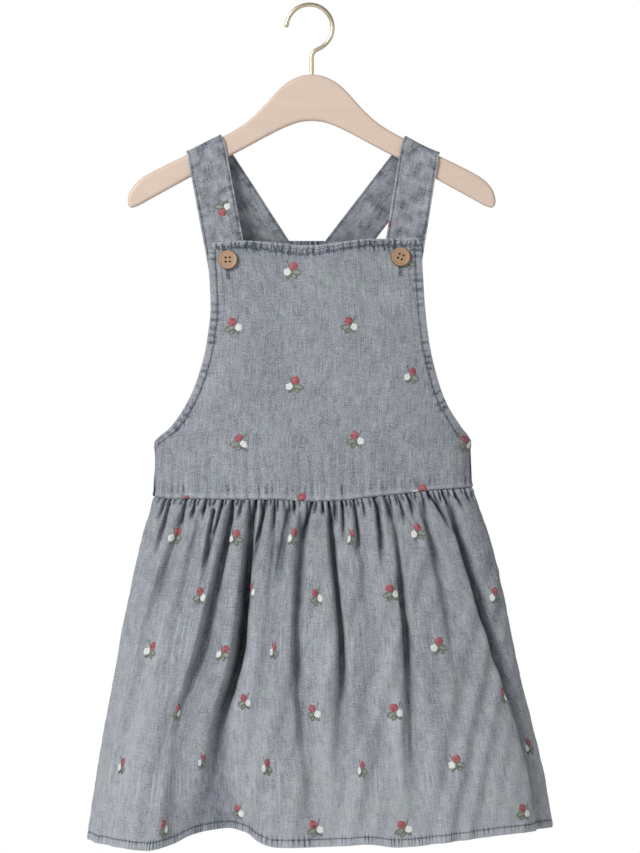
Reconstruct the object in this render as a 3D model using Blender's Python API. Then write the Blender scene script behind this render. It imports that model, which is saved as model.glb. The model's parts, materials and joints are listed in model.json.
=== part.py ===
"""A child's pinafore dress of washed chambray, hung by its straps on a flat wooden hanger.

Blender 4.5: blender --background --python part.py, or run it from the text editor.

Metres, +Z up. The garment's front faces -Y and +X is on its viewer's right. The origin is the inside top
of the hanger's hook, where it sits on a rail. Lengths below are written in millimetres and turned into
metres by MM.

Pieces: front and back bodice, front and back skirt, two straps, two buttons, the hanger's wood and its wire
hook. Every cloth piece is a closed wall. Its outer face is the body's section plus its folds, and its inner
face is the same surface moved in by the thickness of the cloth.
"""

import math

import bmesh
import bpy
import numpy as np
from mathutils import Matrix, Vector

MM = 0.001
GAP = 0.3  # between pieces that touch
CLOTH = 1.2  # wall of the shell cloth
STRETCH_LIMIT = 1.7  # the most by which a steep wall's inner face is moved further in
FLATNESS = 2.6  # exponent of the body's section: 2 is an ellipse, more is flatter in front
SHARP_ANGLE = 50  # degrees between faces, above which their edge is shaded sharp

# Samples taken along a curve to measure its length: round the body, along a bodice row, across the folds and
# along the gathers.
SECTION_SAMPLES = 801
ROW_SAMPLES = 241
FOLD_SAMPLES = 401
GATHER_SAMPLES = 4001

# The body, as horizontal sections: its height, its left and right ends in x, and how far its middle stands
# forward and back of the hanger's plane. Above the underarm the ends are where the section would reach.
BODY_COLUMNS = ("z", "left", "right", "front", "back")
BODY = (
    (-788.9, -209, 229, 68, 62),
    (-736.9, -201.5, 222.5, 66, 60),
    (-680.9, -192.5, 210.5, 63, 57),
    (-624.9, -182, 196.5, 59, 53),
    (-568.9, -172, 185, 54, 48),
    (-524.9, -163, 175, 48, 43),
    (-490.9, -155, 167, 42, 38),
    (-460.9, -145.5, 156, 35, 32),
    (-450.9, -143.5, 151.5, 33, 30),
    (-404.9, -143, 149, 30, 27),
    (-298.9, -143, 149, 23, 20),
    (-213.9, -143, 149, 16, 14),
    (-118.9, -143, 149, 9, 9),
)

# The bodice's rows from its top edge (share 0) to the waist seam (share 1): where each row ends at left and
# right, and how far its middle sags below the straight line between its ends.
ROW_COLUMNS = ("share", "left_x", "left_z", "right_x", "right_z", "sag")
FRONT_ROWS = (
    (0.00, -87, -216.4, 97, -212.4, 7),
    (0.015, -91.5, -218.4, 101.5, -215.4, 6.5),
    (0.035, -93.5, -222.9, 103.5, -220.9, 6),
    (0.065, -93.5, -229.9, 104, -227.9, 5),
    (0.25, -91.5, -278.9, 107, -278.9, 1),
    (0.40, -95, -312.9, 111, -312.9, 0),
    (0.53, -103.5, -345.9, 118.5, -345.9, 0),
    (0.64, -113.5, -368.9, 127, -368.9, 0),
    (0.74, -128.5, -390.9, 140, -389.9, 0),
    (0.80, -143, -404.9, 149, -402.9, 0),
    (0.90, -143.5, -429.9, 150, -425.9, 2),
    (1.00, -144, -455.9, 151.5, -446.9, 4.5),
)
BACK_ROWS = (
    (0.00, -80, -216.9, 85, -216.9, 0),
    (0.03, -80, -222.9, 85.5, -222.9, 0),
    (0.06, -80, -229.9, 86, -229.9, 0),
    (0.11, -80.5, -241.9, 86.5, -241.9, 0),
    (0.25, -81, -270.9, 88, -270.9, 0),
    (0.42, -87, -313.9, 94, -313.9, 0),
    (0.56, -98, -346.9, 105, -346.9, 0),
    (0.66, -111, -369.9, 117, -369.9, 0),
    (0.75, -128, -390.9, 134, -389.9, 0),
    (0.80, -143, -404.9, 149, -402.9, 0),
    (0.90, -143.5, -429.9, 150, -425.9, 1),
    (1.00, -144, -455.9, 151.5, -446.9, 2.5),
)
# How far the bib's top edge stands above its row's curve, across it from left (0) to right (1). The buttons
# pull its corners down. The lift fades over LIFT_FADE of the panel's height.
LIFT_COLUMNS = ("across", "lift")
FRONT_LIFT = (
    (0, -3.5), (0.05, -2), (0.11, 0.4), (0.21, 1.4), (0.32, 0.6), (0.45, -1.2), (0.52, -1.1), (0.6, 0.5),
    (0.75, 1.8), (0.85, 0), (0.97, -2.3), (1, -2.4),
)
BACK_LIFT = ((0, 0), (1, 0))
LIFT_FADE = 0.11
# How far the front's waist seam dips below its row's curve, across it from left (0) to right (1). The dip
# fades upwards over DIP_FADE of the panel's height, and down to the skirt's hem.
DIP_COLUMNS = ("across", "dip")
FRONT_DIP = (
    (0, 0), (0.06, 1.2), (0.12, 0.6), (0.38, 1), (0.45, 2.6), (0.52, 3.6), (0.58, 3.5), (0.64, 2.2),
    (0.7, 1.3), (0.8, 0.2), (0.86, -0.7), (1, 0),
)
BACK_DIP = ((0, 0), (1, 0))
DIP_FADE = 0.15
BODICES = {-1: (FRONT_ROWS, FRONT_LIFT, FRONT_DIP), 1: (BACK_ROWS, BACK_LIFT, BACK_DIP)}  # front and back
BODICE_COLUMNS_ACROSS = 26
UNDERARM_SHARE = 0.78  # the armholes' turned edges end here
EDGE_BAND = 5.5  # width of the turned and stitched edge round the armholes
BAND_STEP = 0.4  # how far a turned edge stands proud
BAND_SLOPE = 1.5

ELASTIC_GATHERS = 30  # ruffles of the elastic casing along the back's top edge
ELASTIC_DEPTH = 2.2
ELASTIC_FADE = 17
# The ruffles' widths vary: how far, in half widths, and in how many half waves across the panel.
ELASTIC_UNEVENNESS = (0.012, 9)

SKIRT_LENGTH = 318  # of cloth, from the waist seam to the hem
WAIST_GATHERS = 60  # on each panel
HEM_BAND = 8
# Lengths of cloth below the waist seam at the skirt's rows: all gathers, then every second column.
GATHERED_ROWS = (0, 6, 16)
SKIRT_ROWS = (28, 46, 70, 102, 140, 185, 235, 280, 309.4, 310.6, 318)

# How far the hem hangs below the waist seam, across each panel from its left end (-1) to its right (1).
HEM_COLUMNS = ("across", "drop")
FRONT_HEM = (
    (-1, 318), (-0.87, 321), (-0.75, 323), (-0.65, 317.5), (-0.57, 309), (-0.47, 304), (-0.38, 302),
    (-0.32, 304), (-0.26, 313), (-0.18, 317.5), (0.0, 318), (0.2, 316.5), (0.33, 320.5), (0.6, 317),
    (0.82, 315), (1, 316),
)
BACK_HEM = (
    (-1, 318), (-0.8, 320), (-0.6, 313), (-0.42, 310), (-0.25, 315), (-0.1, 320), (0.2, 312), (0.4, 320),
    (0.56, 316), (0.75, 321), (1, 316),
)

# The gathers merge as they fall: each level has half the waves of the one above, stands deepest at its own
# distance below the seam, and fades.
GATHER_COLUMNS = ("waves", "depth", "peak")
GATHER_LEVELS = (
    (WAIST_GATHERS, 1.5, 0),
    (WAIST_GATHERS / 2, 1.7, 14),
    (WAIST_GATHERS / 4, 2.2, 32),
)
SEAM_FADE = 15  # the finest gathers have faded by this distance below the seam
# Slow waves in the gathers' spacing: by how many gathers, and radians per half width.
GATHER_DRIFT = ((0.9, 5.3), (0.5, 17))

# Folds of the skirt: where each trough lies across the panel (-1 to 1, in shares of the half width) below
# the seam, at mid height and at the hem, and its depth and its half widths to the left and right at the
# three heights.
FOLD_HEIGHTS = (0.10, 0.42, 1.00)
FOLD_COLUMNS = (
    "x0", "x1", "x2", "depth0", "depth1", "depth2", "left0", "left1", "left2", "right0", "right1", "right2",
)
FRONT_FOLDS = (
    (-0.80, -0.88, -0.86, 7, 5, 2, 5, 8, 18, 8, 14, 26),
    (-0.64, -0.70, -0.74, 7, 3, 0, 5, 8, 18, 7, 12, 24),
    (-0.51, -0.57, -0.62, 14, 18, 6, 6, 9, 26, 8, 16, 30),
    (-0.355, -0.385, -0.42, 17, 24, 36, 7, 10, 42, 6, 9, 18),
    (-0.22, -0.24, -0.25, 8, 4, 0, 5, 8, 18, 7, 12, 24),
    (-0.08, -0.097, -0.04, 13, 15, 5, 6, 8, 20, 8, 15, 30),
    (0.095, 0.13, 0.12, 15, 15, 2, 6, 9, 20, 6, 11, 26),
    (0.27, 0.29, 0.29, 8, 4, 8, 6, 10, 20, 8, 14, 26),
    (0.465, 0.457, 0.42, 13, 18, 4, 5, 8, 20, 8, 14, 28),
    (0.66, 0.66, 0.64, 8, 4, 3, 6, 10, 20, 8, 14, 26),
    (0.83, 0.885, 0.945, 16, 21, 13, 7, 9, 11, 9, 13, 15),
)
BACK_FOLDS = (
    (-0.84, -0.88, -0.90, 13, 15, 9, 8, 10, 13, 9, 12, 16),
    (-0.67, -0.70, -0.72, 8, 5, 3, 6, 10, 20, 8, 14, 26),
    (-0.52, -0.56, -0.58, 14, 19, 24, 8, 12, 34, 6, 9, 22),
    (-0.33, -0.34, -0.30, 11, 10, 4, 6, 11, 22, 7, 12, 24),
    (-0.17, -0.16, -0.12, 14, 18, 10, 6, 9, 22, 8, 13, 28),
    (0.01, 0.03, 0.02, 9, 5, 0, 6, 10, 22, 8, 13, 24),
    (0.16, 0.19, 0.22, 15, 20, 28, 7, 11, 34, 6, 9, 22),
    (0.35, 0.37, 0.40, 10, 9, 3, 6, 11, 22, 6, 12, 24),
    (0.53, 0.55, 0.56, 14, 16, 8, 6, 9, 22, 9, 13, 28),
    (0.70, 0.74, 0.76, 9, 7, 4, 6, 11, 20, 8, 13, 24),
    (0.86, 0.89, 0.92, 13, 14, 8, 9, 12, 14, 8, 10, 14),
)
FOLD_START = 16  # the folds grow out of the seam over this distance
SIDE_SEAM_START = 0.985  # from this share of the half width on, the side seams hold the folds flat

HANGER_X = 2.0  # the hanger's and the garment's middle, to the right of the hook's arc
HANGER_THICK = 11
HANGER_ROUND = 3  # rounding of the wood's edges
# The wood's outline from the middle to the right tip; the left half mirrors it.
HANGER_TOP = (
    (0, -63.4), (8, -64.1), (16, -66.9), (24.5, -71.9), (33, -79.6), (42, -89.7), (52, -100.2), (64, -110.1),
    (80, -119.7), (100, -129.3), (119, -139.2), (135, -147.0), (148, -153.6), (158, -159.5), (165, -166.0),
    (169.5, -173.4), (171, -180.9), (170.4, -184.6), (167.6, -187.2),
)
HANGER_UNDER = (
    (162, -185.3), (150, -178.9), (130, -167.9), (110, -156.9), (90, -146.1), (72, -136.7), (56, -128.3),
    (42, -120.7), (30, -114.6), (19, -109.8), (9, -106.9), (0, -106.1),
)

WIRE = 4.0  # diameter of the hook's wire
HOOK_RADIUS = 21.4  # of the arc's centreline
HOOK_ARC_END = -62  # degrees round the arc, where the wire leaves it for the stem
HOOK_ARC_POINTS = 25
HOOK_NECK_RADIUS = 7.5
HOOK_NECK_POINTS = 7
SOCKET_DEPTH = 22
SOCKET_SIDES = 16
SOCKET_OVERRUN = 5  # how far the socket's cutter reaches above the wood

STRAP_WIDTH = 36.5
STRAP_THICK = 2.0
STRAP_COLUMNS_ACROSS = 4
# Each strap's route, seen from the front: where its middle crosses the hanger's top edge, the front leg's
# foot (behind the bib) and the back leg's foot (inside the back), each with the slant of the strap's
# crosswise edge there. Slants are degrees and rise towards the garment's middle.
STRAP_COLUMNS = ("side", "top_x", "front_x", "front_z", "front_slant", "back_x", "back_z", "back_slant")
STRAPS = {
    "strap_left": (-1, -97.5, -71, -265, 11.1, -31, -232, 31),
    "strap_right": (1, 104, 81.5, -265, 9.7, 26, -232, 33),
}
STRAP_STATIONS_FRONT = 13
STRAP_STATIONS_BACK = 11
STRAP_STATIONS_CORNER = 3
STRAP_FREE = (-159, -205)  # between these heights a leg passes from the hanger's face to the body's
STRAP_TURN_SHARE = 0.45  # of a leg's length, over which its crosswise edge turns
RUFFLE_ROOM = 1.3  # how much further in a strap's back foot lies, clear of the casing's ruffles

BUTTON_RADIUS = 9.1
BUTTON_THICK = 3.0
BUTTON_STAND_OFF = 0.6
BUTTON_HOLE_RADIUS = 0.85
BUTTON_HOLE_SPACING = 3.9
BUTTON_TURN = {"button_left": 2, "button_right": -24}
BUTTON_PLACE = {"button_left": (-75.2, -236.3), "button_right": (84.3, -233.6)}
BUTTON_SIDES = 24
BUTTON_HOLE_SIDES = 8
# The button's section from the middle of its back round to the middle of its dished face: shares of its
# radius and of its thickness.
BUTTON_PROFILE = (
    (0, 0), (0.8, 0), (0.96, 0.15), (1, 0.45), (0.97, 0.8), (0.88, 1), (0.78, 0.97), (0.66, 0.84), (0, 0.8),
)

FINISHES = {  # colour, roughness, metallic
    "chambray": ((0.27, 0.30, 0.34), 0.92, 0.0),
    "button_wood": ((0.47, 0.27, 0.14), 0.55, 0.0),
    "hanger_wood": ((0.72, 0.56, 0.44), 0.5, 0.0),
    "brass_wire": ((0.72, 0.60, 0.42), 0.35, 1.0),
}


def monotone(xs, ys, at):
    """Values at `at` of the monotone cubic through (xs, ys), with xs rising and the ends held."""
    xs, ys = np.asarray(xs, float), np.asarray(ys, float)
    at = np.clip(at, xs[0], xs[-1])
    steps = np.diff(xs)
    slopes = np.diff(ys) / steps
    inner = np.where(
        slopes[1:] * slopes[:-1] > 0,
        2 * slopes[1:] * slopes[:-1] / np.where(slopes[1:] + slopes[:-1] == 0, 1, slopes[1:] + slopes[:-1]),
        0,
    )
    tangents = np.concatenate([[slopes[0]], inner, [slopes[-1]]])
    i = np.clip(np.searchsorted(xs, at, side="right") - 1, 0, len(steps) - 1)
    t = (at - xs[i]) / steps[i]
    return (
        ys[i] * (1 + 2 * t) * (1 - t) ** 2
        + tangents[i] * steps[i] * t * (1 - t) ** 2
        + ys[i + 1] * t**2 * (3 - 2 * t)
        + tangents[i + 1] * steps[i] * t**2 * (t - 1)
    )


def column(table, columns, name, at):
    """A table's named column at `at`, read along the table's first column."""
    k = columns.index(name)
    return monotone([row[0] for row in table], [row[k] for row in table], at)


def smoothstep(low, high, x):
    t = np.clip((np.asarray(x, float) - low) / (high - low), 0, 1)
    return t * t * (3 - 2 * t)


def body(z):
    """The body's section at height z: its middle in x, half width, and depth in front and behind."""
    left, right, front, back = (column(BODY, BODY_COLUMNS, n, z) for n in BODY_COLUMNS[1:])
    return (left + right) / 2, (right - left) / 2, front, back


def body_y(x, z, side):
    """Where the body's surface lies in y, on the front (side -1) or the back (side 1)."""
    middle, half, front, back = body(z)
    s = np.clip(np.abs((x - middle) / half), 0, 1)
    depth = front if side < 0 else back
    return side * (GAP / 2 + depth * np.sqrt(1 - s**FLATNESS))


def body_xy(turn, z, side):
    """Point and outward normal of the section at z, for a turn from -90 to 90 degrees across one panel."""
    middle, half, _, _ = body(z)

    def place(angle):
        s = np.sin(angle)
        depth = body_y(middle + half * s, z, side)
        return np.stack([middle + half * s, depth], axis=-1)

    step = 1e-3
    limit = math.pi / 2
    tangent = place(np.clip(turn + step, -limit, limit)) - place(np.clip(turn - step, -limit, limit))
    normal = np.stack([tangent[..., 1], -tangent[..., 0]], axis=-1) * -side
    return place(turn), normal / np.linalg.norm(normal, axis=-1, keepdims=True)


def arc_shares(half, depth, shares):
    """Turns across a panel that part its section's length in the given shares, from -1 to 1."""
    turn = np.linspace(-math.pi / 2, math.pi / 2, SECTION_SAMPLES)
    s = np.sin(turn)
    xy = np.stack([half * s, depth * np.sqrt(1 - np.abs(s) ** FLATNESS)], axis=-1)
    along = np.concatenate([[0], np.cumsum(np.linalg.norm(np.diff(xy, axis=0), axis=1))])
    return np.interp((np.asarray(shares) + 1) / 2, along / along[-1], turn)


def wall_shift(height, xy):
    """How far in the inner face lies, so that a slanting stretch of wall keeps its thickness."""
    run = np.linalg.norm(np.diff(xy, axis=0), axis=1)
    stretch = np.sqrt(1 + (np.diff(height) / run) ** 2)
    joined = np.concatenate([[stretch[0]], (stretch[1:] + stretch[:-1]) / 2, [stretch[-1]]])
    return CLOTH * np.minimum(joined, STRETCH_LIMIT)


def wall_row(turn, z, side, height, seam_gap=0.0):
    """One row of a cloth wall: its outer and inner points."""
    xy, normal = body_xy(turn, z, side)
    shift = wall_shift(height, xy)
    z = z + seam_gap
    outer = np.column_stack([xy + normal * height[:, None], z])
    inner = np.column_stack([xy + normal * (height - shift)[:, None], z])
    if side > 0:  # both panels run from left to right as seen from outside
        outer, inner = outer[::-1], inner[::-1]
    return outer, inner


def sheet_faces(rows, points):
    """Triangles between rows of point numbers. A row may have half the steps of the row above it."""
    faces = []
    for above, below in zip(rows[:-1], rows[1:]):
        for j in range(len(below) - 1):
            b0, b1 = below[j], below[j + 1]
            if len(above) > len(below):
                a0, a1, a2 = above[2 * j : 2 * j + 3]
                faces += [(a0, b0, a1), (a1, b0, b1), (a1, b1, a2)]
                continue
            a0, a1 = above[j], above[j + 1]
            if np.linalg.norm(points[a0] - points[b1]) < np.linalg.norm(points[a1] - points[b0]):
                faces += [(a0, b0, b1), (a0, b1, a1)]
            else:
                faces += [(a0, b0, a1), (a1, b0, b1)]
    return faces


def add_object(name, data, finish):
    """A named object with its own material, and a mesh's sharp edges kept sharp."""
    obj = bpy.data.objects.new(name, data)
    bpy.context.scene.collection.objects.link(obj)
    material = bpy.data.materials.new(name)
    material.use_nodes = True
    colour, roughness, metallic = FINISHES[finish]
    shader = material.node_tree.nodes["Principled BSDF"]
    shader.inputs["Base Color"].default_value = (*colour, 1)
    shader.inputs["Roughness"].default_value = roughness
    shader.inputs["Metallic"].default_value = metallic
    data.materials.append(material)
    if isinstance(data, bpy.types.Mesh):
        data.shade_smooth()
        data.set_sharp_from_angle(angle=math.radians(SHARP_ANGLE))
    return obj


def closed_mesh(name, points, faces):
    """A mesh from points in millimetres, its faces all turned outwards."""
    mesh = bpy.data.meshes.new(name)
    mesh.from_pydata([tuple(p) for p in np.asarray(points) * MM], [], faces)
    shape = bmesh.new()
    shape.from_mesh(mesh)
    bmesh.ops.recalc_face_normals(shape, faces=shape.faces)
    shape.to_mesh(mesh)
    shape.free()
    return mesh


def add_wall(name, rows, finish):
    """A closed wall from rows of (outer points, inner points), top to bottom."""
    outer_points = np.vstack([outer for outer, _ in rows])
    inner_points = np.vstack([inner for _, inner in rows])
    count = len(outer_points)
    starts = np.cumsum([0] + [len(outer) for outer, _ in rows])
    numbers = [list(range(low, high)) for low, high in zip(starts[:-1], starts[1:])]
    faces = sheet_faces(numbers, outer_points)
    faces += [tuple(n + count for n in face[::-1]) for face in faces]
    first, last = numbers[0], numbers[-1]
    left, right = [row[0] for row in numbers], [row[-1] for row in numbers]
    for edge in (first, last, left, right):
        faces += [(a, b, b + count, a + count) for a, b in zip(edge[:-1], edge[1:])]
    return add_object(name, closed_mesh(name, np.vstack([outer_points, inner_points]), faces), finish)


def bodice_row(side, share, across, height_of):
    """One row of a bodice panel.

    `across` gives the places along it, and `height_of` their height on the body.
    """
    table, lift, dip = BODICES[side]
    left_x, left_z, right_x, right_z, sag = (
        float(column(table, ROW_COLUMNS, n, share)) for n in ROW_COLUMNS[1:]
    )
    ends = []
    for x, z in ((left_x, left_z), (right_x, right_z)):
        middle, half, _, _ = body(z)
        ends.append(math.asin(float(np.clip((x - middle) / half, -1, 1))))
    dense = np.linspace(ends[0], ends[1], ROW_SAMPLES)

    def height_at(turn):
        part = (np.sin(turn) - math.sin(ends[0])) / (math.sin(ends[1]) - math.sin(ends[0]))
        raised = column(lift, LIFT_COLUMNS, "lift", part) * math.exp(-((share / LIFT_FADE) ** 2))
        dipped = column(dip, DIP_COLUMNS, "dip", part) * math.exp(-(((1 - share) / DIP_FADE) ** 2))
        return left_z + (right_z - left_z) * part - sag * 4 * part * (1 - part) + raised - dipped

    line, _ = body_xy(dense, height_at(dense), side)
    along = np.concatenate([[0], np.cumsum(np.linalg.norm(np.diff(line, axis=0), axis=1))])
    places = across(along[-1])
    turn = np.interp(places, along, dense)
    height = height_of(places, along[-1], share)
    seam_gap = GAP / 2 if share == 1 else 0
    return wall_row(turn, height_at(turn), side, height, seam_gap)


def banded_places(count):
    """Places across a row of a given length, with the turned edges' steps at both ends."""

    def across(length):
        inner = np.linspace(EDGE_BAND + BAND_SLOPE, length - EDGE_BAND - BAND_SLOPE, count - 3)
        return np.concatenate([[0, EDGE_BAND], inner, [length - EDGE_BAND, length]])

    return across


def edge_band(places, length, share):
    """The turned edge's step along the armholes, which end at the underarm."""
    from_edge = np.minimum(places, length - places)
    return np.where(from_edge < EDGE_BAND + BAND_SLOPE / 2, BAND_STEP, 0) * (share < UNDERARM_SHARE)


def add_bodice_front():
    shares = (0, 0.015, 0.035, 0.04, 0.12, 0.25, 0.40, 0.53, 0.64, 0.70, 0.74, 0.77, 0.80, 0.90, 0.985, 1)
    rows = []
    for share in shares:
        top_band = BAND_STEP if share <= 0.035 else 0
        waist_roll = BAND_STEP if share >= 0.985 else 0

        def height_of(places, length, share, extra=max(top_band, waist_roll)):
            return np.maximum(edge_band(places, length, share), extra)

        across = banded_places(BODICE_COLUMNS_ACROSS)
        rows.append(bodice_row(-1, share, across, height_of))
    return add_wall("bodice_front", rows, "chambray")


def add_bodice_back():
    """The back's top edge is an elastic casing, so its upper rows have two columns for each ruffle."""
    fine_shares = (0, 0.025, 0.05, 0.10)
    shares = (0.17, 0.25, 0.42, 0.56, 0.66, 0.71, 0.75, 0.78, 0.80, 0.90, 0.985, 1)
    panel_height = BACK_ROWS[0][2] - BACK_ROWS[-1][2]
    rows = []
    for share in fine_shares + shares:
        count = ELASTIC_GATHERS * (2 if share in fine_shares else 1)

        def across(length, count=count):
            even = np.linspace(-1, 1, count + 1)
            shift, waves = ELASTIC_UNEVENNESS
            return (1 + even + shift * np.sin(waves * math.pi * even)) * length / 2

        def height_of(places, length, share, count=count):
            ruffle = np.arange(count + 1) % 2 if share in fine_shares else np.full(count + 1, 0.5)
            fade = math.exp(-((share * panel_height / ELASTIC_FADE) ** 1.5))
            waist_roll = BAND_STEP if share >= 0.985 else 0
            return ELASTIC_DEPTH * fade * ruffle + waist_roll

        rows.append(bodice_row(1, share, across, height_of))
    return add_wall("bodice_back", rows, "chambray")


def gather_phase(share):
    """Gathers counted across a panel, evenly spaced but for slow waves."""
    return WAIST_GATHERS / 2 * (share + 1) + sum(size * np.sin(turn * share) for size, turn in GATHER_DRIFT)


def gather_columns():
    """Where each gather's crest and trough lie across a panel, in shares of its length from -1 to 1."""
    dense = np.linspace(-1, 1, GATHER_SAMPLES)
    phase = gather_phase(dense)
    wanted = np.linspace(phase[0], phase[-1], 2 * WAIST_GATHERS + 1)
    return np.interp(wanted, phase, dense)


def gathers(share, below):
    """Height of the gathers at a distance below the seam."""
    first, last = gather_phase(-1), gather_phase(1)
    count = (gather_phase(share) - first) / (last - first) * WAIST_GATHERS
    total = np.zeros_like(share)
    for waves, depth, peak in GATHER_LEVELS:
        wave = np.cos(2 * math.pi * count * waves / WAIST_GATHERS)
        if peak == 0:
            strength = math.exp(-((below / SEAM_FADE) ** 1.3))
        else:
            strength = below / peak * math.exp(1 - below / peak)
        total += depth * strength * wave
    return total


def fold_values(folds, name, v):
    """A fold column's values at share v of the skirt's length, one for each fold."""
    table = np.array(folds, float)
    stops = [FOLD_COLUMNS.index(f"{name}{k}") for k in range(3)]
    t = [np.interp(v, FOLD_HEIGHTS, table[n, stops]) for n in range(len(folds))]
    return np.array(t)


def fold_relief(folds, turn, v, half, depth):
    """Height of the folds' troughs, below zero, at share v of the skirt's length."""
    shares = np.linspace(-1, 1, FOLD_SAMPLES)
    turns = arc_shares(half, depth, shares)
    half_length = half + 0.6 * depth  # near enough half the section's length
    place = np.interp(turn, turns, shares) * half_length
    centres = np.interp(np.arcsin(fold_values(folds, "x", v)), turns, shares) * half_length
    away = place[:, None] - centres[None, :]
    width = np.where(away < 0, fold_values(folds, "left", v), fold_values(folds, "right", v))
    trough = 1 / (1 + (away / width) ** 2) ** 1.5
    grown = 1 - math.exp(-((v * SKIRT_LENGTH / FOLD_START) ** 2))
    return -(trough * fold_values(folds, "depth", v)).sum(axis=1) * grown


def waist_z(turn, side, dip_left):
    """Height of the waist seam, which is the last row of the bodice's table, with a share of its dip."""
    rows, _, dip = BODICES[side]
    _, _, left_z, _, right_z, sag = rows[-1]
    part = (np.sin(turn) + 1) / 2
    dipped = column(dip, DIP_COLUMNS, "dip", part) * dip_left
    return left_z + (right_z - left_z) * part - sag * 4 * part * (1 - part) - dipped


def skirt_row(side, folds, hem, share, below):
    """One row of a skirt panel. Its columns part the folded cloth's width in the given shares."""
    v = below / SKIRT_LENGTH
    bare = np.linspace(-math.pi / 2, math.pi / 2, SECTION_SAMPLES)

    def height_at(turn):
        drop = column(hem, HEM_COLUMNS, "drop", np.sin(turn))
        return waist_z(turn, side, (1 - v) ** 2) - below - (drop - SKIRT_LENGTH) * v**2

    _, half, front, back = body(float(height_at(np.zeros(1))[0]))
    depth = front if side < 0 else back
    line, normal = body_xy(bare, height_at(bare), side)
    line = line + normal * fold_relief(folds, bare, v, half, depth)[:, None]
    along = np.concatenate([[0], np.cumsum(np.linalg.norm(np.diff(line, axis=0), axis=1))])
    turn = np.interp((share + 1) / 2 * along[-1], along, bare)
    band = BAND_STEP if below > SKIRT_LENGTH - HEM_BAND else 0
    free = 1 - smoothstep(SIDE_SEAM_START, 1, np.abs(share))
    height = (gathers(share, below) + fold_relief(folds, turn, v, half, depth)) * free + band
    seam_gap = -GAP / 2 if below == 0 else 0
    return wall_row(turn, height_at(turn), side, height, seam_gap)


def add_skirt(name, side, folds, hem):
    share = gather_columns()
    rows = [skirt_row(side, folds, hem, share, below) for below in GATHERED_ROWS]
    rows += [skirt_row(side, folds, hem, share[::2], below) for below in SKIRT_ROWS]
    return add_wall(name, rows, "chambray")


def strap_face(x, z, side):
    """Where a strap's outer face lies in y: on the hanger above, and inside the body's cloth below."""
    on_hanger = side * (HANGER_THICK / 2 + GAP + STRAP_THICK)
    room = CLOTH + GAP + (RUFFLE_ROOM if side > 0 else 0)
    in_body = body_y(x, z, side) - side * room
    low = smoothstep(*STRAP_FREE, z)
    return on_hanger * (1 - low) + in_body * low


def strap_seat(side, x):
    """The line that rests on the hanger's top edge under a strap's width: its middle and its slant."""
    outline = np.array(HANGER_TOP)
    reach = np.linspace(-STRAP_WIDTH / 2, STRAP_WIDTH / 2, 9)
    edge = np.interp(side * (x - HANGER_X) + reach, outline[:, 0], outline[:, 1])
    slope = (edge[0] - edge[-1]) / STRAP_WIDTH
    middle = (edge[0] + edge[-1]) / 2
    return (x, middle + float(np.max(edge - (middle - slope * reach)))), math.atan(slope)


def strap_leg(side, facing, start, foot, slants, stations):
    """Rows of one leg of a strap, from the hanger's edge down to its foot.

    `facing` is -1 in front and 1 behind.
    """
    rows = []
    run = np.array(foot) - np.array(start)
    heading = run / np.linalg.norm(run)
    for share in np.linspace(0, 1, stations + 1)[1:]:
        middle = np.array(start) + run * share
        slant = slants[0] + (slants[1] - slants[0]) * float(smoothstep(0, STRAP_TURN_SHARE, share))
        across = np.array([math.cos(slant), -side * math.sin(slant)])
        squareness = abs(across[0] * heading[1] - across[1] * heading[0])
        offset = np.linspace(-0.5, 0.5, STRAP_COLUMNS_ACROSS + 1) * STRAP_WIDTH / squareness
        x = middle[0] + offset * across[0]
        z = middle[1] + offset * across[1]
        outer = strap_face(x, z, facing)
        rows.append((np.column_stack([x, outer, z]), np.column_stack([x, outer - facing * STRAP_THICK, z])))
    return rows


def strap_crossing(side, top, slant):
    """Rows of a strap where it bends over the hanger's rounded edge, from the front to the back."""
    along = np.array([math.cos(slant), 0, -side * math.sin(slant)])
    up = np.array([side * math.sin(slant), 0, math.cos(slant)])
    offset = np.linspace(-STRAP_WIDTH / 2, STRAP_WIDTH / 2, STRAP_COLUMNS_ACROSS + 1)
    flat = HANGER_THICK / 2 - HANGER_ROUND
    rows = []
    for centre_y, start in ((-flat, 180), (flat, 90)):
        for angle in np.radians(np.linspace(start, start - 90, STRAP_STATIONS_CORNER + 1)):
            spoke = np.array([0, math.cos(angle), 0]) + up * math.sin(angle)
            centre = np.array([top[0], centre_y, top[1]]) - up * HANGER_ROUND
            faces = []
            for reach in (HANGER_ROUND + GAP + STRAP_THICK, HANGER_ROUND + GAP):
                faces.append(centre + spoke * reach + offset[:, None] * along)
            rows.append(tuple(faces))
    return rows


def add_strap(name, values):
    v = dict(zip(STRAP_COLUMNS, values))
    side = v["side"]
    top, slant = strap_seat(side, v["top_x"])
    start = np.array(top) - np.array([side * math.sin(slant), math.cos(slant)]) * HANGER_ROUND
    front_slants = (slant, math.radians(v["front_slant"]))
    back_slants = (slant, math.radians(v["back_slant"]))
    front = strap_leg(side, -1, start, (v["front_x"], v["front_z"]), front_slants, STRAP_STATIONS_FRONT)
    back = strap_leg(side, 1, start, (v["back_x"], v["back_z"]), back_slants, STRAP_STATIONS_BACK)
    return add_wall(name, front[::-1] + strap_crossing(side, top, slant) + back, "chambray")


def button_frame(x, z):
    """A button's place: on the front bodice's outer face, turned to its slope."""
    step = 4.0
    slope_x = float(body_y(x + step, z, -1) - body_y(x - step, z, -1)) / (2 * step)
    slope_z = float(body_y(x, z + step, -1) - body_y(x, z - step, -1)) / (2 * step)
    out = Vector((slope_x, -1, slope_z)).normalized()
    seat = Vector((x, float(body_y(x, z, -1)), z)) + out * BUTTON_STAND_OFF
    turn = out.to_track_quat("Z", "Y").to_matrix().to_4x4()
    return Matrix.Translation(seat * MM) @ turn


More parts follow.
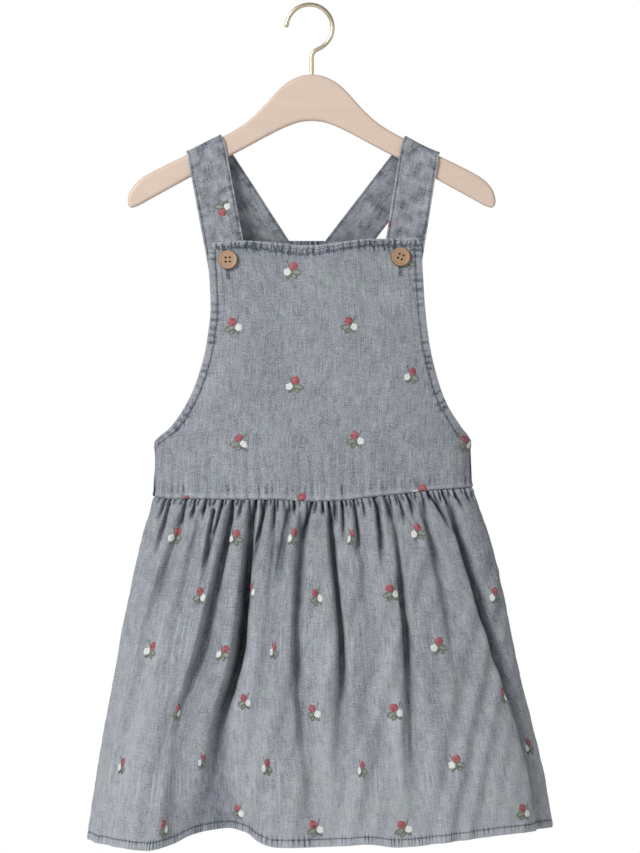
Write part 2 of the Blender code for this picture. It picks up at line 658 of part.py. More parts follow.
def turned_mesh(name, profile, segments):
    """A solid turned round +Z from (radius, height) points that start and end on the axis."""
    points, rings = [], []
    for radius, height in profile:
        if radius == 0:
            rings.append([len(points)])
            points.append((0, 0, height))
            continue
        rings.append(list(range(len(points), len(points) + segments)))
        for angle in np.linspace(0, 2 * math.pi, segments, endpoint=False):
            points.append((radius * math.cos(angle), radius * math.sin(angle), height))
    faces = []
    for low, high in zip(rings[:-1], rings[1:]):
        for j in range(segments):
            k = (j + 1) % segments
            if len(low) == 1:
                faces.append((low[0], high[j], high[k]))
            elif len(high) == 1:
                faces.append((low[j], low[k], high[0]))
            else:
                faces.append((low[j], low[k], high[k], high[j]))
    return closed_mesh(name, points, faces)


def add_button(name, x, z):
    """A four-hole wooden button with a round rim and a shallow dished face."""
    t = BUTTON_THICK
    profile = [(BUTTON_RADIUS * radius, t * height) for radius, height in BUTTON_PROFILE]
    button = add_object(name, turned_mesh(name, profile, BUTTON_SIDES), "button_wood")
    place = button_frame(x, z) @ Matrix.Rotation(math.radians(BUTTON_TURN[name]), 4, "Z")
    button.matrix_world = place
    drill_profile = ((0, -t), (BUTTON_HOLE_RADIUS, -t), (BUTTON_HOLE_RADIUS, 2 * t), (0, 2 * t))
    reach = BUTTON_HOLE_SPACING / math.sqrt(2)
    for k in range(4):
        angle = math.radians(45 + 90 * k)
        offset = Vector((math.cos(angle), math.sin(angle), 0)) * reach * MM
        drill_name = f"{name}_drill_{k}"
        drill_mesh = turned_mesh(drill_name, drill_profile, BUTTON_HOLE_SIDES)
        drill = add_object(drill_name, drill_mesh, "button_wood")
        drill.matrix_world = place @ Matrix.Translation(offset)
        drill.hide_render = True
        drill.display_type = "WIRE"
        cut = button.modifiers.new(f"hole_{k}", "BOOLEAN")
        cut.operation = "DIFFERENCE"
        cut.solver = "EXACT"
        cut.object = drill
    return button


def hanger_outline():
    """The wood's outline seen from the front, in order round it."""
    right = np.array(HANGER_TOP + HANGER_UNDER, float)
    left = right[1:-1][::-1] * (-1, 1)
    return np.vstack([right, left]) + (HANGER_X, 0)


def add_hanger():
    """The wood: the outline at six depths, drawn in at both faces to round the edges, with a bored socket."""
    outline = hanger_outline()
    ahead, behind = np.roll(outline, -1, axis=0), np.roll(outline, 1, axis=0)
    along = ahead - behind
    inward = np.stack([along[:, 1], -along[:, 0]], axis=1)
    inward /= np.linalg.norm(inward, axis=1, keepdims=True)
    points, rings = [], []
    for side in (-1, 1):
        for angle in np.radians((90, 45, 0))[::-side]:
            y = side * (HANGER_THICK / 2 - HANGER_ROUND * (1 - math.sin(angle)))
            draw_in = HANGER_ROUND * (1 - math.cos(angle))
            ring = outline + inward * draw_in
            rings.append(list(range(len(points), len(points) + len(ring))))
            points.extend((x, y, z) for x, z in ring)
    faces = [rings[0][::-1], rings[-1]]
    for a, b in zip(rings[:-1], rings[1:]):
        for j in range(len(a)):
            k = (j + 1) % len(a)
            faces.append((a[j], a[k], b[k], b[j]))
    hanger = add_object("hanger_wood", closed_mesh("hanger_wood", points, faces), "hanger_wood")
    radius = WIRE / 2 + GAP
    top = HANGER_TOP[0][1]
    low, high = top - SOCKET_DEPTH, top + SOCKET_OVERRUN
    profile = ((0, low), (radius, low), (radius, high), (0, high))
    bore = add_object("hanger_bore", turned_mesh("hanger_bore", profile, SOCKET_SIDES), "hanger_wood")
    bore.location.x = HANGER_X * MM
    bore.hide_render = True
    bore.display_type = "WIRE"
    cut = hanger.modifiers.new("socket", "BOOLEAN")
    cut.operation = "DIFFERENCE"
    cut.solver = "EXACT"
    cut.object = bore
    return hanger


def hook_route():
    """The wire's centreline in x and z: the arc from its tip, a turn the other way, and the stem."""
    arc_centre = np.array([0, WIRE / 2 - HOOK_RADIUS])
    end = math.radians(HOOK_ARC_END)
    arc = [
        arc_centre + HOOK_RADIUS * np.array([math.cos(angle), math.sin(angle)])
        for angle in np.linspace(math.pi, end, HOOK_ARC_POINTS)
    ]
    heading = np.array([math.sin(end), -math.cos(end)])
    left_of_it = np.array([-heading[1], heading[0]])
    run = (HANGER_X + HOOK_NECK_RADIUS * (1 - left_of_it[0]) - arc[-1][0]) / heading[0]
    neck_centre = arc[-1] + heading * run + left_of_it * HOOK_NECK_RADIUS
    neck = [
        neck_centre + HOOK_NECK_RADIUS * np.array([math.cos(angle), math.sin(angle)])
        for angle in np.linspace(math.atan2(-left_of_it[1], -left_of_it[0]), math.pi, HOOK_NECK_POINTS)
    ]
    foot = np.array([HANGER_X, HANGER_TOP[0][1] - SOCKET_DEPTH + GAP])
    stem = [neck[-1] + (foot - neck[-1]) * share for share in (1 / 3, 2 / 3, 1)]
    return arc + neck + stem


def add_hook():
    curve = bpy.data.curves.new("hanger_hook", "CURVE")
    curve.dimensions = "3D"
    curve.bevel_depth = WIRE / 2 * MM
    curve.bevel_resolution = 2
    curve.use_fill_caps = True
    route = hook_route()
    spline = curve.splines.new("POLY")
    spline.points.add(len(route) - 1)
    for point, (x, z) in zip(spline.points, route):
        point.co = (x * MM, 0, z * MM, 1)
    return add_object("hanger_hook", curve, "brass_wire")


def main():
    for obj in list(bpy.data.objects):
        bpy.data.objects.remove(obj)
    add_hanger()
    add_hook()
    add_bodice_front()
    add_bodice_back()
    add_skirt("skirt_front", -1, FRONT_FOLDS, FRONT_HEM)
    add_skirt("skirt_back", 1, BACK_FOLDS, BACK_HEM)
    for name, values in STRAPS.items():
        add_strap(name, values)
    for name, (x, z) in BUTTON_PLACE.items():
        add_button(name, x, z)


main()
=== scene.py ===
"""A child's pinafore dress of washed chambray on a flat wooden hanger, laid out as a Blender add-on.

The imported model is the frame: it gives the pieces' places, and every piece made here rides on its body.
Lengths below are in millimetres, and MM turns them into metres when a mesh is made. The front faces -Y, and
the origin is the inside top of the hanger's hook.

Each panel of cloth is one grid of points: rows run down the cloth and columns across it. Folds, gathers and
puckers move the grid's points along its normals, and the closed shell, the stitches and the embroidery are
all made from that grid.
"""

import functools
import json
import math

import bpy
import numpy as np
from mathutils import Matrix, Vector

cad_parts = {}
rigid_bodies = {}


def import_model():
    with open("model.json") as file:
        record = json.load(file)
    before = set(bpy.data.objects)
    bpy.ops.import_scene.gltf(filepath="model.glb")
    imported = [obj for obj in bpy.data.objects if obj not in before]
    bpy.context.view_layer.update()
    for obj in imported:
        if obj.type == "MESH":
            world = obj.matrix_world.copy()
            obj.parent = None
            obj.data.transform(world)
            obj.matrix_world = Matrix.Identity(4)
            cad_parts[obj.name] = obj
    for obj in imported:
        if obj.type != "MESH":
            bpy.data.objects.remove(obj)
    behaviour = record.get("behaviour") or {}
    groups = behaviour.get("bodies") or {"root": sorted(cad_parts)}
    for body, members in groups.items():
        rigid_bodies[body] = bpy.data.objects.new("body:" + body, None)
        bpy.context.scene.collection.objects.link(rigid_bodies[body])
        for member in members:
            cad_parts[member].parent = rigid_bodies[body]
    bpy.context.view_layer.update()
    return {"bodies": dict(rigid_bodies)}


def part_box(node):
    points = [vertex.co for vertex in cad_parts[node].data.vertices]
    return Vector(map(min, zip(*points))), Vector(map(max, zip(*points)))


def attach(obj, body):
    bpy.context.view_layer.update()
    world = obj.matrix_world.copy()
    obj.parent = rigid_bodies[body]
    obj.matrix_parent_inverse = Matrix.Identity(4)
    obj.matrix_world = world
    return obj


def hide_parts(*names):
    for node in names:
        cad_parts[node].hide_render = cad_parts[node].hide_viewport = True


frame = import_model()

bl_info = {
    "name": "Pinafore Dress",
    "version": (1, 0, 0),
    "blender": (4, 5, 0),
    "location": "3D View > Sidebar > Pinafore",
    "description": "A child's washed-chambray pinafore dress on a wooden hanger, in a plain studio",
    "category": "Add Mesh",
}

MM = 0.001
BODY_NAME = next(iter(frame["bodies"]))

# ---------------------------------------------------------------- the dress's sizes

GAP = 0.3  # between pieces that rest on each other
SEAM = 0.04  # between the front and back where they are sewn
CLOTH = 0.8  # thickness of one layer
SHELL_CLOTH = 1.2  # thickness of the solids' cloth, which the straps' ends are kept clear of
FLATNESS = 2.6  # exponent of the body's section: 2 is an ellipse, more is flatter in front

# The body that the cloth hangs in, as horizontal sections: its height, its left and right ends in x, and how
# far its middle stands forward and back of the hanger's plane.
BODY_COLUMNS = ("z", "left", "right", "front", "back")
BODY = (
    (-788.9, -209, 229, 68, 62),
    (-736.9, -201.5, 222.5, 66, 60),
    (-680.9, -192.5, 210.5, 63, 57),
    (-624.9, -182, 196.5, 59, 53),
    (-568.9, -172, 185, 54, 48),
    (-524.9, -163, 175, 48, 43),
    (-490.9, -155, 167, 42, 38),
    (-460.9, -145.5, 156, 35, 32),
    (-450.9, -143.5, 151.5, 33, 30),
    (-404.9, -143, 149, 30, 27),
    (-298.9, -143, 149, 23, 20),
    (-213.9, -143, 149, 16, 14),
    (-118.9, -143, 149, 9, 9),
)

# The bodice's rows from its top edge (share 0) to the waist seam (share 1): where each row ends at left and
# right, and how far its middle sags below the straight line between its ends.
ROW_COLUMNS = ("share", "left_x", "left_z", "right_x", "right_z", "sag")
FRONT_ROWS = (
    (0.00, -87, -216.4, 97, -212.4, 7),
    (0.015, -91.5, -218.4, 101.5, -215.4, 6.5),
    (0.035, -93.5, -222.9, 103.5, -220.9, 6),
    (0.065, -93.5, -229.9, 104, -227.9, 5),
    (0.25, -91.5, -278.9, 107, -278.9, 1),
    (0.40, -95, -312.9, 111, -312.9, 0),
    (0.53, -103.5, -345.9, 118.5, -345.9, 0),
    (0.64, -113.5, -368.9, 127, -368.9, 0),
    (0.74, -128.5, -390.9, 140, -389.9, 0),
    (0.80, -143, -404.9, 149, -402.9, 0),
    (0.90, -143.5, -429.9, 150, -425.9, 2),
    (1.00, -144, -455.9, 151.5, -446.9, 4.5),
)
BACK_ROWS = (
    (0.00, -80, -216.9, 85, -216.9, 0),
    (0.03, -80, -222.9, 85.5, -222.9, 0),
    (0.06, -80, -229.9, 86, -229.9, 0),
    (0.11, -80.5, -241.9, 86.5, -241.9, 0),
    (0.25, -81, -270.9, 88, -270.9, 0),
    (0.42, -87, -313.9, 94, -313.9, 0),
    (0.56, -98, -346.9, 105, -346.9, 0),
    (0.66, -111, -369.9, 117, -369.9, 0),
    (0.75, -128, -390.9, 134, -389.9, 0),
    (0.80, -143, -404.9, 149, -402.9, 0),
    (0.90, -143.5, -429.9, 150, -425.9, 1),
    (1.00, -144, -455.9, 151.5, -446.9, 2.5),
)
# How far the bib's top edge stands above its row's curve, across it from left (0) to right (1). The buttons
# pull its corners down. The lift fades over LIFT_FADE of the panel's height.
LIFT_COLUMNS = ("across", "lift")
FRONT_LIFT = (
    (0, -3.5), (0.05, -2), (0.11, 0.4), (0.21, 1.4), (0.32, 0.6), (0.45, -1.2), (0.52, -1.1), (0.6, 0.5),
    (0.75, 1.8), (0.85, 0), (0.97, -2.3), (1, -2.4),
)
BACK_LIFT = ((0, 0), (1, 0))
LIFT_FADE = 0.11
# How far the front's waist seam dips below its row's curve, across it from left (0) to right (1). The dip
# fades upwards over DIP_FADE of the panel's height, and down to the skirt's hem.
DIP_COLUMNS = ("across", "dip")
FRONT_DIP = (
    (0, 0), (0.06, 1.2), (0.12, 0.6), (0.38, 1), (0.45, 2.6), (0.52, 3.6), (0.58, 3.5), (0.64, 2.2),
    (0.7, 1.3), (0.8, 0.2), (0.86, -0.7), (1, 0),
)
BACK_DIP = ((0, 0), (1, 0))
DIP_FADE = 0.15
BODICES = {-1: (FRONT_ROWS, FRONT_LIFT, FRONT_DIP), 1: (BACK_ROWS, BACK_LIFT, BACK_DIP)}  # front and back
BODICE_HEIGHT = 237
# The grid's rows as lengths of cloth below the top edge: the first, the last and the number of each run.
BODICE_GRID_ROWS = ((0, 25, 26), (26, 210, 76), (211.2, BODICE_HEIGHT, 23))
BODICE_SAMPLES = 801  # along each row, before its points are spaced evenly
BODICE_GRID_COLUMNS = 261
UNDERARM_SHARE = 0.79  # the armholes end here, and plain side seams run on to the waist
EDGE_BAND = 6.8  # from a turned edge to its line of stitches
TOP_ROW_REACH = 30  # down to here the bib's turned band is its top's, and below it the armholes'
FACING_LINE = 12.6  # from the armhole's edge to the line that its turned-in cloth presses through
CASING_ROWS = (3, 15)  # of stitches, below the back's top edge
CORNER_PUCKERS = ((-38, 30, 0.9), (60, 30, 1.0), (-76, 12, 0.6))  # of the bib: place, reach and strength

SKIRT_LENGTH = 318  # of cloth, from the waist seam to the hem
SKIRT_CUT = 580  # width of each skirt panel before it is gathered
# The grid's rows as lengths of cloth below the waist seam, in runs: the start, the end and the step.
SKIRT_GRID_ROWS = ((0, 12, 1.0), (12, 46, 2.0), (46, 301, 6.3), (303.5, 318.5, 1.45))
SKIRT_SAMPLES = 4801  # along each row, before its points are spaced evenly
SKIRT_GRID_COLUMNS = 961
HEM_BAND = 7.0
# How far the hem hangs below the waist seam, across each panel from its left end (-1) to its right (1).
HEM_COLUMNS = ("across", "drop")
FRONT_HEM = (
    (-1, 318), (-0.87, 321), (-0.75, 323), (-0.65, 317.5), (-0.57, 309), (-0.47, 304), (-0.38, 302),
    (-0.32, 304), (-0.26, 313), (-0.18, 317.5), (0.0, 318), (0.2, 316.5), (0.33, 320.5), (0.6, 317),
    (0.82, 315), (1, 316),
)
BACK_HEM = (
    (-1, 318), (-0.8, 320), (-0.6, 313), (-0.42, 310), (-0.25, 315), (-0.1, 320), (0.2, 312), (0.4, 320),
    (0.56, 316), (0.75, 321), (1, 316),
)

# Folds that run the skirt's whole length: where each trough lies across the panel (in shares of the half
# width) at four heights, its depth, and its half widths to the left and right. A narrow side is a crisp wall,
# and a wide one is soft.
FOLD_HEIGHTS = (0.10, 0.42, 0.70, 1.00)
FOLD_COLUMNS = ("x", "depth", "left", "right")
FRONT_FOLDS = (
    ((-0.80, -0.87, -0.87, -0.86), (6, 4, 3, 2), (3, 7, 12, 18), (5, 12, 20, 26)),
    ((-0.68, -0.71, -0.73, -0.74), (5, 3, 2, 1), (4, 8, 14, 18), (5, 12, 18, 24)),
    ((-0.508, -0.584, -0.655, -0.615), (14, 15, 12, 12), (2.5, 3.5, 9, 14), (2.6, 9, 15, 26)),
    ((-0.372, -0.384, -0.462, -0.43), (17, 26, 16, 26), (3.5, 4, 6, 34), (3, 4, 7, 16)),
    ((-0.22, -0.235, -0.25, -0.25), (6, 3, 2, 1), (4, 8, 14, 18), (6, 12, 18, 24)),
    ((-0.073, -0.101, -0.058, 0.0), (10, 10, 8, 7), (4, 3.5, 6, 12), (3.5, 4.5, 8, 14)),
    ((0.093, 0.127, 0.110, 0.08), (13, 13, 7, 2), (2.5, 3, 8, 16), (2, 2.5, 7, 16)),
    ((0.27, 0.29, 0.29, 0.29), (5, 3, 3, 5), (4, 9, 16, 20), (5, 12, 18, 26)),
    ((0.460, 0.455, 0.442, 0.45), (5, 12, 7, 3), (1.8, 3, 5, 16), (1.8, 4, 7, 16)),
    ((0.65, 0.70, 0.70, 0.69), (9, 4, 2.5, 2.5), (2.5, 6, 12, 20), (3, 9, 16, 26)),
    ((0.823, 0.893, 0.953, 0.962), (13, 17, 13, 9), (3, 3.5, 4.5, 7), (4, 8, 11, 12)),
)
BACK_FOLDS = (
    ((-0.84, -0.88, -0.90, -0.91), (13, 16, 13, 9), (4, 6, 9, 12), (4, 5, 7, 14)),
    ((-0.67, -0.70, -0.71, -0.72), (6, 4, 3, 3), (4, 8, 14, 20), (5, 12, 18, 26)),
    ((-0.52, -0.56, -0.58, -0.58), (14, 20, 20, 24), (4, 6, 12, 30), (3, 5, 8, 20)),
    ((-0.33, -0.34, -0.31, -0.30), (10, 10, 7, 4), (3, 6, 12, 22), (4, 7, 14, 24)),
    ((-0.17, -0.16, -0.14, -0.12), (14, 19, 15, 10), (3, 5, 9, 20), (4, 6, 12, 26)),
    ((0.01, 0.03, 0.02, 0.02), (7, 4, 2, 1), (4, 8, 14, 22), (5, 10, 16, 24)),
    ((0.16, 0.19, 0.21, 0.22), (15, 21, 22, 28), (4, 6, 12, 32), (3, 5, 8, 20)),
    ((0.35, 0.37, 0.39, 0.40), (9, 9, 6, 3), (3, 6, 12, 22), (3, 7, 14, 24)),
    ((0.53, 0.55, 0.55, 0.56), (14, 17, 12, 8), (3, 5, 10, 20), (4, 6, 12, 26)),
    ((0.70, 0.74, 0.75, 0.76), (7, 6, 5, 4), (4, 7, 12, 20), (5, 9, 16, 24)),
    ((0.86, 0.89, 0.91, 0.92), (13, 15, 12, 8), (4, 6, 8, 13), (4, 6, 8, 13)),
)
FOLD_START = 21  # the folds grow out of the seam over this distance
FOLD_SWELL = (0.3, 115, 95)  # how much they deepen, how far down they do so most, and its reach

# Shorter creases that run down from the gathers: place across the panel and length of cloth below the seam
# where each starts and ends, its depth and its half width.
CREASE_COLUMNS = ("x0", "start", "x1", "end", "depth", "width")
FRONT_CREASES = (
    (-0.913, 0, -0.940, 26, 5.0, 1.3), (-0.888, 0, -0.900, 58, 6.0, 1.6), (-0.840, 45, -0.838, 96, 2.4, 3.2),
    (-0.794, 0, -0.802, 32, 7.0, 1.4), (-0.733, 0, -0.734, 22, 7.0, 1.3), (-0.660, 0, -0.685, 17, 5.0, 1.2),
    (-0.611, 6, -0.608, 86, 7.5, 2.0), (-0.564, 0, -0.608, 66, 6.5, 1.5), (-0.500, 0, -0.505, 30, 7.0, 1.8),
    (-0.447, 0, -0.455, 22, 5.0, 1.3), (-0.360, 0, -0.385, 30, 8.0, 2.0), (-0.303, 0, -0.357, 72, 9.0, 1.8),
    (-0.245, 0, -0.250, 36, 5.5, 1.3), (-0.162, 4, -0.214, 94, 5.5, 2.8), (-0.130, 0, -0.125, 15, 4.5, 1.2),
    (-0.020, 0, -0.085, 42, 7.5, 1.8), (0.043, 0, 0.050, 15, 5.0, 1.2), (0.085, 0, 0.088, 30, 7.0, 1.6),
    (0.127, 0, 0.118, 27, 5.0, 1.2), (0.165, 0, 0.160, 40, 5.5, 1.3), (0.240, 0, 0.236, 62, 7.5, 1.8),
    (0.373, 0, 0.370, 76, 7.5, 2.0), (0.440, 0, 0.446, 30, 6.0, 1.5), (0.515, 0, 0.530, 31, 5.0, 1.3),
    (0.580, 0, 0.600, 18, 5.0, 1.2), (0.711, 0, 0.800, 42, 6.5, 1.6), (0.800, 0, 0.810, 19, 4.5, 1.2),
    (0.870, 0, 0.905, 22, 5.0, 1.3), (0.940, 0, 0.955, 16, 4.0, 1.2),
)
# Soft ridges and troughs lower down, in the same columns.
FRONT_DRAPES = (
    (-0.78, 60, -0.90, 300, -2.0, 9), (-0.70, 90, -0.76, 318, 1.6, 8), (-0.47, 70, -0.53, 240, 2.0, 6),
    (-0.30, 120, -0.36, 260, -1.6, 6), (-0.17, 100, -0.16, 318, 1.6, 10), (0.03, 90, 0.03, 300, -1.6, 8),
    (0.21, 90, 0.22, 300, 1.8, 9), (0.36, 110, 0.36, 318, -1.6, 8), (0.43, 165, 0.385, 275, 3.6, 5),
    (0.57, 100, 0.56, 318, 1.8, 10), (0.74, 90, 0.80, 290, 1.6, 9),
)
BACK_CREASES = 25  # gathers that run on down the back as creases, spread at random
# The back's soft ridges and troughs: the span they are spread over, their number, and their depths in turn.
BACK_DRAPES = ((-0.78, 0.80), 11, (1.8, -1.6))
SLOTS = 58  # short gathers along each panel's seam
SEAM_PUFF = 1.9  # how far the gathers stand out just below the seam
RIDGE_REACH = 10  # to each side, over which the cloth beside a crease is pushed out
LOW_CREASE = 30  # creases that start further below the seam than this fade at both ends

STRAP_WIDTH = 36.5
STRAP_THICK = 2.0
STRAP_SHELL = 1.9  # thickness of its mesh, which keeps its inner face just clear of the hanger
STRAP_GRID_COLUMNS = 41
STRAP_STATIONS = {"front": 80, "over": 15, "back": 72}
STRAP_TURN_SHARE = 0.45  # of a leg's length, over which its crosswise edge turns
# Each strap's route, seen from the front: where its middle crosses the hanger's top edge, the front leg's
# foot behind the bib and the back leg's foot inside the back, each with the slant of the strap's crosswise
# edge there. Slants are in degrees and rise towards the garment's middle.
STRAP_COLUMNS = ("side", "top_x", "front_x", "front_z", "front_slant", "back_x", "back_z", "back_slant")
STRAPS = {
    "left": (-1, -97.5, -71, -265, 11.1, -31, -232, 31),
    "right": (1, 104, 81.5, -265, 9.7, 26, -232, 33),
}
STRAP_FREE = (-159, -205)  # between these heights a leg passes from the hanger's face to the body's
RUFFLE_ROOM = 1.3  # how much further in a strap's back foot lies, clear of the casing's ruffles
STRAP_STITCH = 2.1  # from the strap's edges to their stitches

HANGER_X = 2.0  # the hanger's middle, to the right of the middle of the hook's arc
HANGER_THICK = 11
HANGER_ROUND = 3  # rounding of the wood's edges
HANGER_STATIONS = 321  # along the arms, from tip to tip
HANGER_FACE_POINTS = 25  # from the top edge to the under edge
# The wood's outline from the middle to the right tip, and back under it. The left half mirrors it.
HANGER_TOP = (
    (0, -63.4), (8, -64.1), (16, -66.9), (24.5, -71.9), (33, -79.6), (42, -89.7), (52, -100.2), (64, -110.1),
    (80, -119.7), (100, -129.3), (119, -139.2), (135, -147.0), (148, -153.6), (158, -159.5), (165, -166.0),
    (169.5, -173.4), (171, -180.9), (170.4, -184.6), (167.6, -187.2),
)
HANGER_UNDER = (
    (167.6, -187.2), (162, -185.3), (150, -178.9), (130, -167.9), (110, -156.9), (90, -146.1), (72, -136.7),
    (56, -128.3), (42, -120.7), (30, -114.6), (19, -109.8), (9, -106.9), (0, -106.1),
)
WIRE = 4.0  # diameter of the hook's wire
WIRE_SIDES = 20
HOOK_RADIUS = 21.4  # of the arc's centreline
HOOK_ARC_END = -62  # degrees round the arc, where the wire leaves it for the neck
HOOK_ARC_POINTS = 90
HOOK_NECK_RADIUS = 7.5
HOOK_NECK_POINTS = 24
HOOK_STRAIGHT_POINTS = 12
HOOK_STEM_POINTS = 24
HOOK_TIP = (0.0, 0.15, 0.4, 0.8, 1.3)  # distances from the wire's end at which its rounded tip has rings
SOCKET_DEPTH = 22

BUTTON_RADIUS = 9.1
BUTTON_THICK = 3.0
BUTTON_SIDES = 96
BUTTON_HOLE_RADIUS = 0.85
BUTTON_HOLE_SPACING = 3.9
BUTTON_HOLE_DEPTH = 2.0
BUTTON_TURN = {"left": 2, "right": -24}  # degrees by which the four holes stand off square
BUTTON_GRAIN = {"left": 35, "right": -20}  # degrees by which the wood's grain leans
BUTTON_BURN_AND_SHADE = (0.05, 0.022, 0.012)  # colour of the darkened rim and holes' edges: burnt wood and painted shade
BUTTONHOLE_LENGTH = 21
BUTTONHOLE_FOOT = 16.5  # from the button's middle down to the buttonhole's lower end
BUTTONHOLE_HALF = 0.85  # from the slit to the middle of each rib
BUTTONHOLE_BAR = 1.9  # half the length of the bar across its lower end

STITCH_PITCH = 3.0  # from one stitch to the next
STITCH_SPAN = 2.2  # of cloth that a stitch takes its direction from
STITCH_LENGTH = 2.4
STITCH_RISE = 0.05
STITCH_HALF_WIDTH = 0.34
# A stitch's rings: place along it in shares of its length, share of its half width, and rise.
STITCH_POD = (
    (-0.5, 0.25, -0.30), (-0.38, 0.85, 0.02), (-0.15, 1.0, 0.16),
    (0.15, 1.0, 0.16), (0.38, 0.85, 0.02), (0.5, 0.25, -0.30),
)
STRAP_STITCH_PITCH = 2.8
STRAP_STITCH_LENGTH = 2.1
STRAP_STITCH_HALF_WIDTH = 0.3
BACK_LEG_SHARE = 0.56  # of a strap's length, past which its inner side is stitched too

# Embroidered sprigs: where each is, its kind and how wide it shows, since the gathers squeeze some. A sprig
# of kind 1 has its red bloom at the upper right, its white one at the lower left and its leaves at the lower
# right. Kind -1 is its mirror image.
SPRIG_COLUMNS = ("x", "z", "kind", "width")
SKIRT_SPRIGS = (
    (-124, -490.5, 1, 1), (-69.5, -491.3, 1, 0.95), (-15.2, -490.5, 1, 0.6), (38.6, -491.2, 1, 0.5),
    (98.1, -486.1, 1, 0.8), (-99.7, -544.8, -1, 0.75), (-52.5, -540.2, -1, 0.6), (7.3, -545.3, -1, 0.7),
    (75.9, -541.5, -1, 1), (171.1, -545.7, 1, 0.8), (-147, -595.2, 1, 1), (-79.3, -596.5, 1, 0.95),
    (-32.6, -594.3, 1, 0.45), (117, -590.2, 1, 0.95), (-119.1, -651.3, -1, 0.45), (-57.9, -640.4, -1, 0.8),
    (4.5, -650.4, -1, 1), (79.5, -649.7, -1, 1), (178.7, -637.5, -1, 0.5), (-173, -702, 1, 0.55),
    (-98.8, -695.7, 1, 0.5), (-39, -699.5, 1, 0.6), (47.4, -701.5, 1, 0.5), (133.2, -696.9, 1, 1),
    (203.1, -686, 1, 0.6), (-132.4, -757.7, -1, 0.55), (-64.8, -741.7, -1, 1), (5.9, -756, -1, 1),
    (87.2, -755.8, -1, 1.1), (198, -743.8, -1, 1),
)
BIB_SPRIGS = (
    (-17.2, -244.9, 1, 1), (89.4, -236, 1, 1), (-68.8, -296.5, -1, 1), (38.3, -295.8, -1, 1),
    (-15.5, -351, 1, 1), (93.4, -342.4, 1, 0.85), (-64, -404, -1, 1), (44.4, -401.2, -1, 1),
    (146.5, -405, -1, 1), (-9.8, -458.4, 1, 1), (101.2, -450, 1, 1), (-117.3, -460.3, 1, 0.9),
)
# The straps' sprigs: share of the half width, length of strap from its front foot, kind, width and turn in
# degrees. The first on the right passes the strap's edge.
STRAP_SPRIGS = {
    "left": ((-0.335, 76.2, 1, 1, 0), (0.3, 165, -1, 1, 0), (-0.3, 222, 1, 1, 0)),
    "right": ((1.28, 60.2, -1, 1, 45), (-0.1, 178, 1, 1, 0), (0.3, 232, -1, 1, 0)),
}
SPRIG_ROW_STEP = 53.5  # between the staggered rows of sprigs on the dress's back
SPRIG_COLUMN_STEP = 109
SPRIG_COLUMN_START = 18  # how far the columns are shifted to the left
SPRIG_MARGIN = 12  # between a sprig's middle and a seam

SUNK = -0.3  # height of the underside of a sprig's raised patch, inside the cloth
# The patches, as rings from the middle over the rim and back under it: share of the radius, and height.
DOME = (
    (0.05, 0.95), (0.3, 0.98), (0.55, 0.88), (0.78, 0.66), (0.93, 0.38), (1.0, 0.05),
    (0.9, SUNK), (0.2, SUNK),
)
HOLLOW_DOME = (
    (0.05, 0.45), (0.25, 0.62), (0.55, 0.78), (0.8, 0.62), (0.95, 0.3), (1.0, 0.0),
    (0.85, SUNK), (0.2, SUNK),
)
PAD = ((0.05, 0.22), (0.6, 0.2), (1.0, 0.05), (0.8, SUNK), (0.2, SUNK))
# The leaves: base and tip in x and y from the sprig's middle, and width. The stem: x and y along it.
LEAVES = (
    ((0.6, -2.2), (9.0, -4.4), 4.8),
    ((0.4, -3.8), (4.8, -8.4), 3.0),
    ((-0.5, -5.6), (-4.4, -7.8), 1.8),
)
STEM = ((-4.0, 8.2), (-2.6, 5.0), (-1.2, 1.6), (-0.2, -1.6), (0.8, -4.6), (0.6, -6.4))
RED, WHITE, GREEN, PALE_GREEN = range(4)  # a sprig's threads


# ---------------------------------------------------------------- curves and waves


def monotone(xs, ys, at):
    """Values at `at` of the monotone cubic through (xs, ys), with xs rising and the ends held."""
    xs, ys = np.asarray(xs, float), np.asarray(ys, float)
    at = np.clip(at, xs[0], xs[-1])
    steps = np.diff(xs)
    slopes = np.diff(ys) / steps
    both = slopes[1:] + slopes[:-1]
    product = slopes[1:] * slopes[:-1]
    inner = np.where(product > 0, 2 * product / np.where(both == 0, 1, both), 0)
    tangents = np.concatenate([[slopes[0]], inner, [slopes[-1]]])
    i = np.clip(np.searchsorted(xs, at, side="right") - 1, 0, len(steps) - 1)
    t = (at - xs[i]) / steps[i]
    return (
        ys[i] * (1 + 2 * t) * (1 - t) ** 2
        + tangents[i] * steps[i] * t * (1 - t) ** 2
        + ys[i + 1] * t**2 * (3 - 2 * t)
        + tangents[i + 1] * steps[i] * t**2 * (t - 1)
    )


def column(table, columns, name, at):
    """A table's named column at `at`, read along the table's first column."""
    k = columns.index(name)
    return monotone([row[0] for row in table], [row[k] for row in table], at)


def smoothstep(low, high, x):
    """0 below low, 1 above high, and the S-curve 3t^2 - 2t^3 between them."""
    t = np.clip((np.asarray(x, float) - low) / (high - low), 0, 1)
    return t * t * (3 - 2 * t)


def ripple(x, wavelength, seed, waves=7):
    """An irregular wave about 1 high: a sum of cosines, each 0.7 to 1.4 times as long as the wavelength."""
    rng = np.random.default_rng(seed)
    total = np.zeros_like(np.asarray(x, float))
    for length, phase in zip(wavelength * rng.uniform(0.7, 1.4, waves), rng.uniform(0, 2 * math.pi, waves)):
        total += np.cos(2 * math.pi * x / length + phase)
    return total / math.sqrt(waves / 2)


def crumple(u, v, length, seed, waves=16):
    """Irregular dents about 1 high: a sum of plane waves in random directions, about `length` long."""
    rng = np.random.default_rng(seed)
    total = np.zeros(np.broadcast(u, v).shape)
    for _ in range(waves):
        turn = rng.uniform(0, math.pi)
        size = length * rng.uniform(0.6, 1.8)
        phase = rng.uniform(0, 2 * math.pi)
        total += np.cos(2 * math.pi * (u * math.cos(turn) + v * math.sin(turn)) / size + phase)
    return total / math.sqrt(waves / 2)


